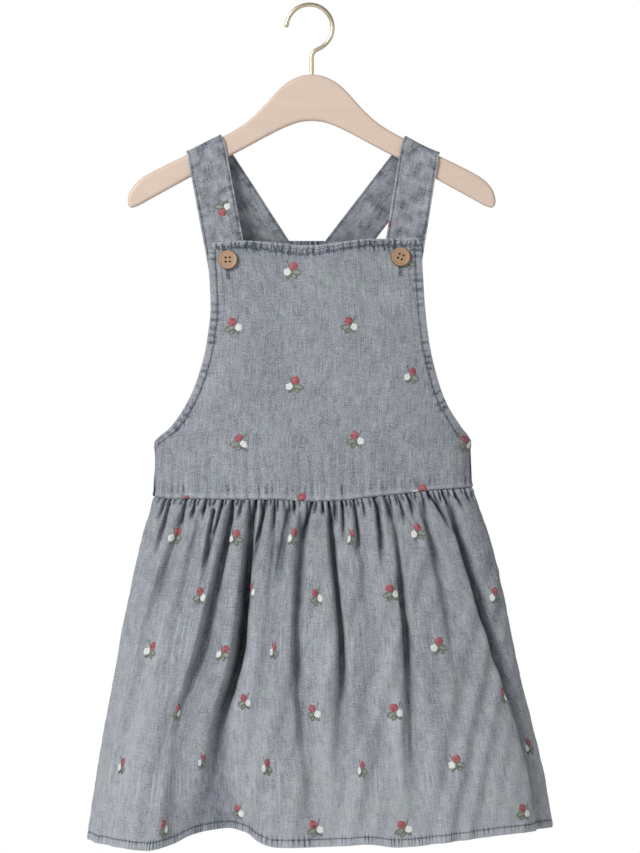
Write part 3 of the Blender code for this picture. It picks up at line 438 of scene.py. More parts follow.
def length_along(path):
    """The length along a polyline at each of its points."""
    return np.concatenate([[0], np.cumsum(np.linalg.norm(np.diff(path, axis=0), axis=1))])


def running_sum(steps):
    """Each row's sum up to each of its points, from 0: one column more than the steps have."""
    return np.concatenate([np.zeros((len(steps), 1)), np.cumsum(steps, axis=1)], axis=1)


def pinches(along, wavelength, seed):
    """Puckers along a stitched edge: 0 between them and 1 in the middle of each, unevenly spaced and deep."""
    slow = 0.75 + 0.35 * ripple(along, 6 * wavelength, seed + 1)
    return np.clip(ripple(along, wavelength, seed) - 0.15, 0, 1.7) / 1.7 * np.clip(slow, 0.2, 1.3)


def stitched_edge(along, away, band, seed, depth=0.55, reach=5.0, wavelength=4.6, pucker_shade=1.5):
    """Relief, wear and painted shade of a turned, stitched edge, at distances `along` it and `away` from it.

    The turned band stands proud and ends in a groove under the stitches. Puckers start at the edge, are
    deepest at the stitches and fade into the cloth over `reach`, and their floors are painted darker by
    `pucker_shade`, a painted shade, as is the groove. The rim itself rounds off and is painted pale, worn and
    with a painted highlight, and the band's middle gets a faint painted highlight.
    """
    pucker = pinches(along, wavelength, seed)
    strength = np.where(
        away < band, 0.35 + 0.65 * smoothstep(0, band, away), np.exp(-np.clip(away - band, 0, None) / reach)
    )
    proud = 0.5 * (1 - smoothstep(band - 0.4, band + 1.2, away)) - 0.5 * (1 - smoothstep(0, 1.6, away))
    groove = np.exp(-(((away - band) / 0.8) ** 2))
    height = proud - 0.4 * groove - depth * pucker * strength
    rim = np.exp(-((away / 1.3) ** 2))
    ridge = np.exp(-(((away - 0.5 * band) / (0.4 * band)) ** 2))
    # Painted highlights on the rounded rim, which is also worn pale, and on the band's middle; painted shade
    # in the groove and the puckers' floors.
    wear_and_shade = 0.45 * rim + 0.10 * ridge - 0.75 * groove - pucker_shade * pucker * strength
    return height, wear_and_shade


# ---------------------------------------------------------------- the body under the cloth


def body(z):
    """The body's section at height z: its middle in x, half width, and depth in front and behind."""
    left, right, front, back = (column(BODY, BODY_COLUMNS, n, z) for n in BODY_COLUMNS[1:])
    return (left + right) / 2, (right - left) / 2, front, back


def body_y(x, z, side):
    """Where the body's surface lies in y, on the front (side -1) or the back (side 1): a superellipse."""
    middle, half, front, back = body(z)
    s = np.clip(np.abs((x - middle) / half), 0, 1)
    return side * (SEAM / 2 + (front if side < 0 else back) * np.sqrt(1 - s**FLATNESS))


def body_xy(turn, z, side):
    """Points and outward normals of the sections at z, for turns from -90 to 90 degrees across one panel."""
    middle, half, _, _ = body(z)

    def place(angle):
        """Points of the section: the angle's sine gives x, and the body's surface gives y."""
        s = np.sin(angle)
        return np.stack([middle + half * s, body_y(middle + half * s, z, side)], axis=-1)

    step, limit = 1e-3, math.pi / 2
    tangent = place(np.clip(turn + step, -limit, limit)) - place(np.clip(turn - step, -limit, limit))
    normal = np.stack([tangent[..., 1], -tangent[..., 0]], axis=-1) * -side
    return place(turn), normal / np.linalg.norm(normal, axis=-1, keepdims=True)


def waist_z(turn, side, dip_left):
    """Height of the waist seam, which is the last row of the bodice's table, with a share of its dip."""
    rows, _, dip = BODICES[side]
    _, _, left_z, _, right_z, sag = rows[-1]
    part = (np.sin(turn) + 1) / 2
    dipped = column(dip, DIP_COLUMNS, "dip", part) * dip_left
    return left_z + (right_z - left_z) * part - sag * 4 * part * (1 - part) - dipped


# ---------------------------------------------------------------- panels of cloth


class Cloth:
    """One panel's outer surface as a grid of points, rows down and columns across, seen from outside.

    down: each row's length of cloth below the top row. half: half the cloth's width at each row. u and v:
    each point's length of cloth across from the middle and down from the top row. wear_and_shade: the tone
    from -1, the dyed colour, to 1, the faded one: wear, and painted shade in the floors of folds, creases,
    grooves and puckers, with painted highlights on rims and ridges. normals: the row direction crossed with
    the column direction.
    """

    def __init__(self, points, down, half, wear_and_shade=None):
        self.points = points
        self.down = np.asarray(down, float)
        self.half = np.broadcast_to(np.asarray(half, float), self.down.shape)
        self.wear_and_shade = np.zeros(points.shape[:2]) if wear_and_shade is None else wear_and_shade
        outward = np.cross(np.gradient(points, axis=0), np.gradient(points, axis=1))
        self.normals = outward / np.maximum(np.linalg.norm(outward, axis=-1, keepdims=True), 1e-9)
        self.share = np.linspace(-1, 1, points.shape[1])
        self.u = self.share[None, :] * self.half[:, None]
        self.v = np.broadcast_to(self.down[:, None], self.u.shape)

    def raised(self, height, wear_and_shade):
        """The same panel with its points moved out along its normals."""
        return Cloth(self.points + self.normals * height[..., None], self.down, self.half, self.wear_and_shade + wear_and_shade)

    def seat(self, share, down, rise=0.0):
        """Points at shares of the cloth's width and lengths below its top row, moved out by `rise`."""
        rows, columns = self.wear_and_shade.shape
        i = np.interp(down, self.down, np.arange(rows))
        j = (np.clip(share, -1, 1) + 1) / 2 * (columns - 1)
        i0, j0 = np.minimum(i.astype(int), rows - 2), np.minimum(j.astype(int), columns - 2)
        fi, fj = (i - i0)[..., None], (j - j0)[..., None]

        def blend(grid):
            """The grid's values at the places, each blended from the four points around it."""
            above = grid[i0, j0] * (1 - fj) + grid[i0, j0 + 1] * fj
            below = grid[i0 + 1, j0] * (1 - fj) + grid[i0 + 1, j0 + 1] * fj
            return above * (1 - fi) + below * fi

        return blend(self.points) + blend(self.normals) * np.asarray(rise)[..., None]

    def spot_at(self, x, z, side):
        """Share and length down of the point at this x and z, the outermost where folds give several."""
        outermost = 0.08  # how much each millimetre further out counts against a miss in x and z
        miss = np.hypot(self.points[..., 0] - x, self.points[..., 2] - z)
        cost = miss - outermost * side * self.points[..., 1]
        j = np.unravel_index(np.argmin(cost), cost.shape)[1]
        line = self.points[:, j, 2]
        return float(self.share[j]), float(np.interp(-z, -line, self.down)) + max(0.0, float(line[-1]) - z)


def even_columns(rows, count, *fields, marks=None):
    """Each row of a dense curve, and fields along it, read at `count` places that part its length evenly.

    marks are dense places in each row, such as the folds' floors, that one and the same column follows down.
    """
    along = running_sum(np.linalg.norm(np.diff(rows, axis=1), axis=-1))
    results = [np.empty((len(rows), count, rows.shape[-1]))] + [np.empty((len(rows), count)) for _ in fields]
    shares = np.empty((len(rows), 0))
    if marks is not None:
        shares = np.array([np.interp(m, np.arange(a.size), a / a[-1]) for m, a in zip(marks, along)])
    shares = np.hstack([np.zeros((len(rows), 1)), shares, np.ones((len(rows), 1))])
    even = np.linspace(0, 1, count)
    for r, line in enumerate(along):
        at = np.interp(even, shares.mean(axis=0), shares[r]) * line[-1]
        for k in range(rows.shape[-1]):
            results[0][r, :, k] = np.interp(at, line, rows[r, :, k])
        for result, field in zip(results[1:], fields):
            result[r] = np.interp(at, line, field[r])
    return (*results, along[:, -1])


def trough(away, left, right):
    """A trough's cross-section: 1 at its floor, and a half at its half width to each side.

    Both walls follow 1 / (1 + q to some power), q being the distance in half widths. The power is greatest,
    and the wall most upright, where the half width is small.
    """
    width = np.where(away < 0, left, right)
    power = 2.3 + 2.0 * np.exp(-((width / 7.5) ** 2))
    return 1 / (1 + np.abs(away / width) ** power)


def crease_table(side):
    """One skirt panel's creases: the longer ones, and short gathers all along its seam."""
    rng = np.random.default_rng(11 if side < 0 else 12)
    if side < 0:
        creases = list(FRONT_CREASES + FRONT_DRAPES)
    else:
        x0 = np.linspace(-0.93, 0.93, BACK_CREASES) + rng.uniform(-0.02, 0.02, BACK_CREASES)
        x1 = x0 + rng.uniform(-0.035, 0.035, BACK_CREASES)
        end = rng.uniform(18, 84, BACK_CREASES)
        depth = rng.uniform(4.5, 8.0, BACK_CREASES)
        width = rng.uniform(1.3, 2.2, BACK_CREASES)
        creases = list(zip(x0, np.zeros(BACK_CREASES), x1, end, depth, width))
        span, count, depths = BACK_DRAPES
        for k, x in enumerate(np.linspace(*span, count)):
            creases.append((x + 0.02, 80, x + 0.03 * (x > 0) - 0.015, 310, depths[k % 2], 9))
    x0 = np.linspace(-0.985, 0.985, SLOTS) + rng.uniform(-0.007, 0.007, SLOTS)
    x1 = x0 + rng.uniform(-0.014, 0.014, SLOTS)
    end = rng.uniform(7, 15, SLOTS) + 14 * (rng.random(SLOTS) < 0.25)
    depth = rng.uniform(3.0, 5.0, SLOTS)
    width = rng.uniform(0.8, 1.15, SLOTS)
    return creases + list(zip(x0, np.full(SLOTS, -2.0), x1, end, depth, width))


def crease_strength(start, end, below):
    """How deep a crease is at each row, and its part of the way down. From the seam it fades to its end."""
    part = np.clip((below - start) / (end - start), 0, 1)
    if start > LOW_CREASE:
        return np.sin(math.pi * part) ** 0.8, part
    rise = smoothstep(start, start + 6, below) if start > 0 else 1.0
    return rise * (1 - smoothstep(0.45, 1.0, part)), part


@functools.cache
def skirt_cloth(side):
    """A skirt panel: the body's section, drawn in along each fold, crease and gather.

    Each trough moves points in along the section's normal by its depth times its cross-section. The cloth
    between the creases is pushed out by as much as they take in. The cloth is then parted evenly.
    """
    folds, hem = (FRONT_FOLDS, FRONT_HEM) if side < 0 else (BACK_FOLDS, BACK_HEM)
    below = np.concatenate([np.arange(*run) for run in SKIRT_GRID_ROWS])
    turn = np.linspace(-math.pi / 2, math.pi / 2, SKIRT_SAMPLES)
    share = (below / SKIRT_LENGTH)[:, None]
    drop = column(hem, HEM_COLUMNS, "drop", np.sin(turn))
    z = waist_z(turn, side, (1 - share) ** 2) - below[:, None] - (drop - SKIRT_LENGTH)[None, :] * share**2
    z = z - (SEAM / 2) * (1 - smoothstep(0, 4, below))[:, None]
    line, normal = body_xy(np.broadcast_to(turn, z.shape), z, side)
    steps = np.linalg.norm(np.diff(line, axis=1), axis=-1)
    place = running_sum(steps)
    length = place[:, -1:]

    def sample(x):
        """The number of the sample at a share of the half width."""
        return (np.arcsin(np.clip(x, -1, 1)) + math.pi / 2) / math.pi * (SKIRT_SAMPLES - 1)

    def centre(x, pick):
        """Where a share of the half width lies along each picked row."""
        i = sample(x)
        i0 = np.minimum(i.astype(int), SKIRT_SAMPLES - 2)
        picked = place[pick]
        r = np.arange(len(picked))
        return (picked[r, i0] * (1 - i + i0) + picked[r, i0 + 1] * (i - i0))[:, None]

    sink, shade, pinch = (np.zeros(z.shape) for _ in range(3))
    marks = []
    grown = 1 - np.exp(-((below / FOLD_START) ** 2))
    more, most_at, reach = FOLD_SWELL
    swell = 1 + more * np.exp(-(((below - most_at) / reach) ** 2))
    for row in folds:
        fold = {n: monotone(FOLD_HEIGHTS, values, share[:, 0]) for n, values in zip(FOLD_COLUMNS, row)}
        depth = (fold["depth"] * grown * swell)[:, None]
        marks.append(sample(fold["x"]))
        away = place - centre(fold["x"], np.arange(len(below)))
        bell = trough(away, fold["left"][:, None], fold["right"][:, None])
        sink += depth * bell
        # Each fold's floor is painted darker as it deepens: painted shade.
        shade += bell * np.clip(depth / 24 - 0.15, 0, 1.1)
    for row in crease_table(side):
        crease = dict(zip(CREASE_COLUMNS, row))
        strength, part = crease_strength(crease["start"], crease["end"], below)
        pick = np.flatnonzero(strength * abs(crease["depth"]) > 0.01)
        strength, part = (strength[pick] * crease["depth"])[:, None], part[pick]
        spread = 0.7 * (1 + 1.3 * part) if crease["start"] <= LOW_CREASE else np.ones(len(pick))
        wide = (crease["width"] * spread)[:, None]
        x = crease["x0"] + (crease["x1"] - crease["x0"]) * part
        bell = trough(place[pick] - centre(x, pick), wide, wide)
        pinch[pick] += strength * bell
        # Each crease's floor is painted darker too: painted shade.
        shade[pick] += bell**1.6 * np.clip(strength / 6.5, -0.25, 0.9)
    taken = running_sum(0.5 * (pinch[:, 1:] + pinch[:, :-1]) * steps)
    for r, spot in enumerate(place):
        low, high = np.clip(spot - RIDGE_REACH, 0, None), np.clip(spot + RIDGE_REACH, None, length[r])
        near = (np.interp(high, spot, taken[r]) - np.interp(low, spot, taken[r])) / (high - low)
        sink[r] += pinch[r] - 0.9 * near
    flat = 1 - smoothstep(0.97, 1.0, np.abs(place / length * 2 - 1))
    puff = SEAM_PUFF * (np.exp(-((below / 17) ** 2)) - np.exp(-((below / 1.2) ** 2)))
    waves = ripple(place + 0.05 * below[:, None], 24, 31 + side) * (0.7 * smoothstep(10, 90, below))[:, None]
    line = line + normal * ((puff[:, None] + waves - sink) * flat)[..., None]
    surface = np.concatenate([line, z[..., None]], axis=-1)
    marks = np.stack(marks, axis=-1)
    points, shade, _ = even_columns(surface, SKIRT_GRID_COLUMNS, shade * flat, marks=marks)
    if side > 0:
        points, shade = points[:, ::-1], shade[:, ::-1]
    # Paler towards the hem, and darker in the folds' and creases' floors: painted shade.
    faded = 0.04 + 0.46 * share**1.3 - 0.95 * np.clip(shade, -0.3, 1.1)
    cloth = Cloth(points, below, SKIRT_CUT / 2, faded)
    edge, edge_wear_and_shade = stitched_edge(
        cloth.u, SKIRT_LENGTH - cloth.v, HEM_BAND, 40 + side, depth=0.5, reach=2.2, wavelength=3.7, pucker_shade=2.3
    )
    streaks = np.clip(ripple(cloth.u, 5.5, 35 + side) - 0.6, 0, None)
    streaks = streaks * (0.6 + 0.5 * ripple(cloth.v, 90, 36 + side)) * smoothstep(20, 60, cloth.v)
    dents = 0.28 * crumple(cloth.u, cloth.v, 34, 50 + side) + 0.10 * crumple(cloth.u, cloth.v, 11, 60 + side)
    # Painted shade and light follow the dents a little; the streaks and the hem's last band are paler.
    wear_and_shade = edge_wear_and_shade + 0.05 * dents + 0.22 * streaks + 0.12 * smoothstep(300, 310, cloth.v)
    return cloth.raised(edge + dents * smoothstep(2, 30, cloth.v), wear_and_shade)


def edge_line(points, last_row):
    """The polyline up one armhole edge, across the top and down the other, with its length and direction."""
    left, right = points[: last_row + 1, 0][::-1], points[: last_row + 1, -1]
    line = np.concatenate([left[:-1], points[0], right[1:]])
    along = length_along(line)
    direction = np.gradient(line, axis=0)
    return line, along, direction / np.linalg.norm(direction, axis=1, keepdims=True)


def from_edge(flat, last_row):
    """Each grid point's place along that polyline and distance from it, on the panel rolled out flat."""
    line, along, direction = edge_line(flat, last_row)
    places, away = np.empty(flat.shape[:2]), np.empty(flat.shape[:2])
    for r, row in enumerate(flat):
        near = np.argmin(((row[:, None] - line[None]) ** 2).sum(axis=-1), axis=1)
        offset = row - line[near]
        run = (offset * direction[near]).sum(axis=1)
        places[r] = along[near] + run
        away[r] = np.sqrt(np.maximum((offset**2).sum(axis=1) - run**2, 0))
    return places, away


def top_band(u):
    """Width of the bib's turned top edge across it: the gathered middle is turned deeper."""
    return EDGE_BAND - 0.3 + 2.4 * np.exp(-(((u + 14) / 34) ** 2)) + 0.35 * ripple(u, 13, 74)


def bib_edges(cloth, along, away):
    """Relief, wear and painted shade of the bib's turned edges, its gathered top and the line beside its
    armholes.
    """
    band = np.where(cloth.v < TOP_ROW_REACH, top_band(cloth.u), EDGE_BAND)
    height, wear_and_shade = stitched_edge(along, away, band, 71, depth=0.6, reach=1.8, wavelength=6.5, pucker_shade=2.6)
    gathered = 0.55
    for place, reach, more in CORNER_PUCKERS:
        gathered = gathered + more * np.exp(-(((cloth.u - place) / reach) ** 2))
    lean = cloth.u + 1.8 * np.sin(cloth.v / 3 + ripple(cloth.u, 40, 78))
    strokes = 0.5 + 0.5 * np.clip(ripple(cloth.u + 3 * cloth.v, 9, 82), -1, 1)
    deeper = pinches(lean, 3.9, 75) * gathered * (0.35 + 0.65 * strokes)
    deeper = deeper * np.exp(-(((cloth.v - band) / 5.0) ** 2)) * smoothstep(0.5, 4, cloth.v)
    second = np.exp(-(((cloth.v - band - 1.2) / 1.1) ** 2)) * np.clip(ripple(cloth.u, 3.3, 83), 0, 1.2)
    facing = np.exp(-(((away - FACING_LINE) / 0.55) ** 2))
    facing = facing * (1 - smoothstep(55, 110, cloth.v)) * smoothstep(22, 30, cloth.v)
    height = height - 1.2 * deeper - 0.25 * facing
    # The gathered top's puckers, the dark dashes under them and the facing line are painted darker: painted
    # shade.
    wear_and_shade = wear_and_shade - 3.5 * deeper - 1.2 * second - 0.5 * facing
    return height, wear_and_shade


def casing_edges(cloth, along, away):
    """Relief, wear and painted shade of the back's turned edges, with its elastic casing's ruffles and rows
    of stitches.
    """
    height, wear_and_shade = stitched_edge(along, away, EDGE_BAND, 72, depth=0.4, reach=3.0, wavelength=5.4)
    ruffle = 0.7 * ripple(cloth.u, 4.2, 76) * np.exp(-((cloth.v / 19) ** 2))
    rows = sum(np.exp(-(((cloth.v - row) / 0.8) ** 2)) for row in CASING_ROWS)
    height = height + 1.3 * ruffle - 0.5 * rows + 1.0
    # Painted shade in the ruffles' troughs and a painted highlight on their crests, and painted shade along
    # the rows of stitches.
    wear_and_shade = wear_and_shade + 0.5 * np.clip(ruffle, -1, 0.5) - 0.35 * rows
    return height, wear_and_shade


@functools.cache
def bodice_cloth(side):
    """A bodice panel: its table's rows laid on the body, with turned and stitched edges round the top."""
    table, lift, dip = BODICES[side]
    down = np.concatenate([np.linspace(*run) for run in BODICE_GRID_ROWS])
    share = down / BODICE_HEIGHT
    ends = {n: column(table, ROW_COLUMNS, n, share)[:, None] for n in ROW_COLUMNS[1:]}
    turns = []
    for x, z in ((ends["left_x"], ends["left_z"]), (ends["right_x"], ends["right_z"])):
        middle, half, _, _ = body(z)
        turns.append(np.arcsin(np.clip((x - middle) / half, -1, 1)))
    turn = turns[0] + (turns[1] - turns[0]) * np.linspace(0, 1, BODICE_SAMPLES)
    first, last = np.sin(turns[0]), np.sin(turns[1])
    part = (np.sin(turn) - first) / (last - first)
    z = ends["left_z"] + (ends["right_z"] - ends["left_z"]) * part
    z = z - ends["sag"] * 4 * part * (1 - part) + (SEAM / 2) * smoothstep(0.99, 1, share)[:, None]
    z = z + column(lift, LIFT_COLUMNS, "lift", part) * np.exp(-((share / LIFT_FADE) ** 2))[:, None]
    z = z - column(dip, DIP_COLUMNS, "dip", part) * np.exp(-(((1 - share) / DIP_FADE) ** 2))[:, None]
    line, _ = body_xy(turn, z, side)
    points, length = even_columns(np.concatenate([line, z[..., None]], axis=-1), BODICE_GRID_COLUMNS)
    if side > 0:
        points = points[:, ::-1]
    cloth = Cloth(points, down, length / 2)
    last_row = int(np.searchsorted(share, UNDERARM_SHARE))
    along, away = from_edge(np.stack([cloth.u, points[..., 2]], axis=-1), last_row)
    height, wear_and_shade = (bib_edges if side < 0 else casing_edges)(cloth, along, away)
    waist = BODICE_HEIGHT - cloth.v
    ridge = np.exp(-(((waist - 2.6) / 1.9) ** 2)) - smoothstep(1.2, 0, waist)
    tucks = pinches(cloth.u, 5.0, 77 + side) * np.exp(-(((waist - 8.5) / 4.5) ** 2))
    soft = ripple(cloth.u, 9, 79 + side) * np.exp(-waist / 26)
    dents = crumple(cloth.u, cloth.v, 60, 80 + side)
    height = height + 0.55 * ridge - 0.35 * tucks + 0.25 * soft + 0.55 * dents * smoothstep(2, 30, away)
    # Painted highlight on the ridge above the seam and the soft swells, painted shade in the tucks and a
    # little on the dents; the seam line itself is darker.
    wear_and_shade = wear_and_shade + 0.30 * ridge - 0.9 * tucks + 0.20 * soft - 0.5 * np.exp(-((waist / 0.8) ** 2))
    return cloth.raised(height, wear_and_shade + 0.04 * dents)


def strap_face(x, z, side):
    """Where a strap's outer face lies in y: on the hanger above, and inside the body's cloth below."""
    on_hanger = side * (HANGER_THICK / 2 + GAP + STRAP_THICK)
    room = SHELL_CLOTH + GAP + (RUFFLE_ROOM if side > 0 else 0)
    low = smoothstep(*STRAP_FREE, z)
    return on_hanger * (1 - low) + (body_y(x, z, side) - side * room) * low


def strap_seat(side, x):
    """The straight line that rests on the hanger's top edge under a strap: its middle and its slant."""
    outline = np.array(HANGER_TOP)
    reach = np.linspace(-STRAP_WIDTH / 2, STRAP_WIDTH / 2, 9)
    edge = np.interp(side * (x - HANGER_X) + reach, outline[:, 0], outline[:, 1])
    slope = (edge[0] - edge[-1]) / STRAP_WIDTH
    middle = (edge[0] + edge[-1]) / 2
    return (x, middle + float(np.max(edge - (middle - slope * reach)))), math.atan(slope)


def strap_leg(side, facing, start, foot, slants, shares, offset):
    """Points of a leg: its middle runs straight from the hanger to its foot, and its crosswise edge turns."""
    run = np.array(foot) - np.array(start)
    heading = run / np.linalg.norm(run)
    middle = np.array(start) + run * shares[:, None]
    slant = slants[0] + (slants[1] - slants[0]) * smoothstep(0, STRAP_TURN_SHARE, shares)
    across = np.stack([np.cos(slant), -side * np.sin(slant)], axis=-1)
    squareness = np.abs(across[:, 0] * heading[1] - across[:, 1] * heading[0])
    reach = offset[None, :] * STRAP_WIDTH / squareness[:, None]
    x = middle[:, :1] + reach * across[:, :1]
    z = middle[:, 1:] + reach * across[:, 1:]
    return np.stack([x, strap_face(x, z, facing), z], axis=-1)


@functools.cache
def strap_cloth(key):
    """A strap: from its foot behind the bib over the hanger's top edge and down to its foot in the back."""
    strap = dict(zip(STRAP_COLUMNS, STRAPS[key]))
    side = strap["side"]
    top, slant = strap_seat(side, strap["top_x"])
    start = np.array(top) - np.array([side * math.sin(slant), math.cos(slant)]) * HANGER_ROUND
    offset = np.linspace(0.5, -0.5, STRAP_GRID_COLUMNS)
    legs = []
    for facing, name in ((-1, "front"), (1, "back")):
        foot = (strap[f"{name}_x"], strap[f"{name}_z"])
        slants = (slant, math.radians(strap[f"{name}_slant"]))
        shares = np.linspace(0, 1, STRAP_STATIONS[name])[1:]
        legs.append(strap_leg(side, facing, start, foot, slants, shares, offset))
    along = np.array([math.cos(slant), 0, -side * math.sin(slant)])
    up = np.array([side * math.sin(slant), 0, math.cos(slant)])
    centre = np.array([top[0], 0, top[1]]) - up * HANGER_ROUND
    angle = np.radians(np.linspace(180, 0, STRAP_STATIONS["over"]))
    flat = np.interp(angle, np.radians((0, 80, 100, 180)), (1, 1, -1, -1)) * (HANGER_THICK / 2 - HANGER_ROUND)
    spoke = np.cos(angle)[:, None] * np.array([0, 1, 0]) + np.sin(angle)[:, None] * up
    ridge = centre + flat[:, None] * np.array([0, 1, 0]) + spoke * (HANGER_ROUND + GAP + STRAP_THICK)
    crossing = ridge[:, None, :] + (offset * STRAP_WIDTH)[None, :, None] * along
    points = np.concatenate([legs[0][::-1], crossing, legs[1]])
    cloth = Cloth(points, length_along(points[:, STRAP_GRID_COLUMNS // 2]), STRAP_WIDTH / 2)
    away = STRAP_WIDTH / 2 - np.abs(cloth.u)
    near = np.sign(cloth.u) * 500 + cloth.v  # so that the two edges pucker differently
    height, wear_and_shade = stitched_edge(near, away, STRAP_STITCH, 90 + side, depth=0.18, reach=3.0, wavelength=6.5)
    dents = crumple(cloth.u, cloth.v, 26, 92 + side)
    rubbed = crumple(0.6 * cloth.u, cloth.v, 9, 95 + side)
    # Painted shade in the edges' grooves and puckers and a faint painted shade on the dents; rubbed is wear
    # at random.
    return cloth.raised(height + 0.22 * dents, 0.8 * wear_and_shade + 0.06 * dents + 0.13 * rubbed)


# ---------------------------------------------------------------- meshes


def grid_quads(numbers):
    """Faces of a grid of point numbers, wound so that rows crossed with columns point out of them."""
    corners = (numbers[:-1, :-1], numbers[1:, :-1], numbers[1:, 1:], numbers[:-1, 1:])
    return np.stack(corners, axis=-1).reshape(-1, 4)


def grid_triangles(numbers, points):
    """The same faces as grid_quads, each cut along the shorter of its two diagonals."""
    a, b, c, d = grid_quads(numbers).T
    across = np.linalg.norm(points[a] - points[c], axis=1) < np.linalg.norm(points[b] - points[d], axis=1)
    first = np.stack([a, b, np.where(across, c, d)], axis=-1)
    second = np.stack([np.where(across, a, b), c, d], axis=-1)
    return np.concatenate([first, second])


def turned_over(faces):
    """The same faces, facing the other way."""
    return [face[::-1] for face in faces]


def rim_faces(outer, inner, turned):
    """Five-sided faces that join an edge of the outer grid to the inner grid's, which has half its steps."""
    faces = np.stack([outer[:-2:2], outer[1:-1:2], outer[2::2], inner[1:], inner[:-1]], axis=-1).tolist()
    return turned_over(faces) if turned else faces


def joined(parts):
    """Points and faces of several parts as those of one mesh."""
    points, faces = [], []
    for part_points, part_faces in parts:
        start = sum(len(p) for p in points)
        points.append(part_points)
        faces += [[n + start for n in face] for face in part_faces]
    return np.concatenate(points), faces


def many(copies, faces, mirrored=None):
    """One mesh from copies (copies, points, 3) of a template. Faces are turned over where it is mirrored."""
    count = copies.shape[1]
    every = []
    for k in range(len(copies)):
        own = turned_over(faces) if mirrored is not None and mirrored[k] else faces
        every += [[n + k * count for n in face] for face in own]
    return copies.reshape(-1, 3), every


def add_piece(name, points, faces, materials, uv=None, fields=None, material_index=None, sharp=50):
    """A named mesh object in metres that rides on the dress's body, with its UV map and attributes."""
    mesh = bpy.data.meshes.new(name)
    mesh.from_pydata((np.asarray(points) * MM).tolist(), [], faces)
    for material in materials:
        mesh.materials.append(material)
    if uv is not None:
        corners = np.empty(len(mesh.loops), int)
        mesh.loops.foreach_get("vertex_index", corners)
        layer = mesh.uv_layers.new(name="cloth")
        layer.data.foreach_set("uv", (np.asarray(uv) * MM)[corners].ravel())
    for label, values in (fields or {}).items():
        attribute = mesh.attributes.new(label, "FLOAT", "POINT")
        attribute.data.foreach_set("value", np.asarray(values, float).ravel())
    if material_index is not None:
        mesh.polygons.foreach_set("material_index", material_index)
    mesh.shade_smooth()
    mesh.set_sharp_from_angle(angle=math.radians(sharp))
    mesh.update()
    if mesh.validate():
        raise RuntimeError(f"{name}: its mesh has faces that Blender refuses")
    obj = bpy.data.objects.new(name, mesh)
    bpy.context.scene.collection.objects.link(obj)
    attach(obj, BODY_NAME)
    return obj


def add_cloth(name, cloth, thickness, material):
    """A closed shell: the panel's grid, every second point of it moved in by the thickness, and rims."""
    rows, columns = cloth.wear_and_shade.shape
    inner_points = (cloth.points - cloth.normals * thickness)[::2, ::2]
    outer = np.arange(rows * columns).reshape(rows, columns)
    inner = rows * columns + np.arange(inner_points[..., 0].size).reshape(inner_points.shape[:2])
    faces = grid_triangles(outer, cloth.points.reshape(-1, 3)).tolist()
    faces += turned_over(grid_quads(inner).tolist())
    for edge, turned in ((0, False), (-1, True)):
        faces += rim_faces(outer[edge], inner[edge], turned)
    for edge, turned in ((0, True), (-1, False)):
        faces += rim_faces(outer[:, edge], inner[:, edge], turned)
    points = np.concatenate([cloth.points.reshape(-1, 3), inner_points.reshape(-1, 3)])
    uv = np.stack([cloth.u, -cloth.v], axis=-1)
    uv = np.concatenate([uv.reshape(-1, 2), uv[::2, ::2].reshape(-1, 2)])
    # The inner face gets a weaker, darker copy of the outer face's wear and painted shade.
    wear_and_shade = np.concatenate([cloth.wear_and_shade.ravel(), 0.6 * cloth.wear_and_shade[::2, ::2].ravel() - 0.12])
    return add_piece(name, points, faces, [material], uv, {"wear_and_shade": np.clip(wear_and_shade, -1, 1)})


def tube(rings):
    """Points and faces of a closed tube through rings (count, sides, 3), each end closed by one face."""
    count, sides = rings.shape[:2]
    numbers = np.arange(count * sides).reshape(count, sides)
    wrapped = np.concatenate([numbers, numbers[:, :1]], axis=1)
    faces = grid_quads(wrapped).tolist() + [numbers[0].tolist(), numbers[-1][::-1].tolist()]
    return rings.reshape(-1, 3), faces


def path_rings(path, side_axis, radius, sides):
    """Rings round a path: a circle in the plane of the side axis and the path's own normal to it."""
    heading = np.gradient(path, axis=0)
    heading /= np.linalg.norm(heading, axis=1, keepdims=True)
    up = np.cross(heading, side_axis)
    up /= np.linalg.norm(up, axis=1, keepdims=True)
    side = np.cross(up, heading)
    angle = np.linspace(0, 2 * math.pi, sides, endpoint=False)
    radius = np.broadcast_to(np.asarray(radius, float), (len(path),))[:, None, None]
    spokes = np.cos(angle)[None, :, None] * side[:, None, :] + np.sin(angle)[None, :, None] * up[:, None, :]
    return path[:, None, :] + radius * spokes


# ---------------------------------------------------------------- stitches


def stitch_frames(cloth, share, down, pitch=STITCH_PITCH, span=STITCH_SPAN, rise=STITCH_RISE):
    """Centres, directions and outward axes of stitches laid `pitch` apart along a line on the cloth."""
    share, down = np.broadcast_arrays(np.asarray(share, float), np.asarray(down, float))
    path = cloth.seat(share, down, rise)
    out = cloth.seat(share, down, rise + 1.0) - path
    along = length_along(path)

    def read(values, at):
        """The values at lengths along the line, drawn straight between its points."""
        return np.stack([np.interp(at, along, values[:, k]) for k in range(3)], axis=-1)

    at = np.arange(0.7 * pitch, along[-1] - 0.5 * pitch, pitch)
    heading = read(path, at + span / 2) - read(path, at - span / 2)
    heading /= np.linalg.norm(heading, axis=1, keepdims=True)
    normal = read(out, at)
    normal -= heading * (normal * heading).sum(axis=1, keepdims=True)
    normal /= np.linalg.norm(normal, axis=1, keepdims=True)
    return read(path, at), heading, normal


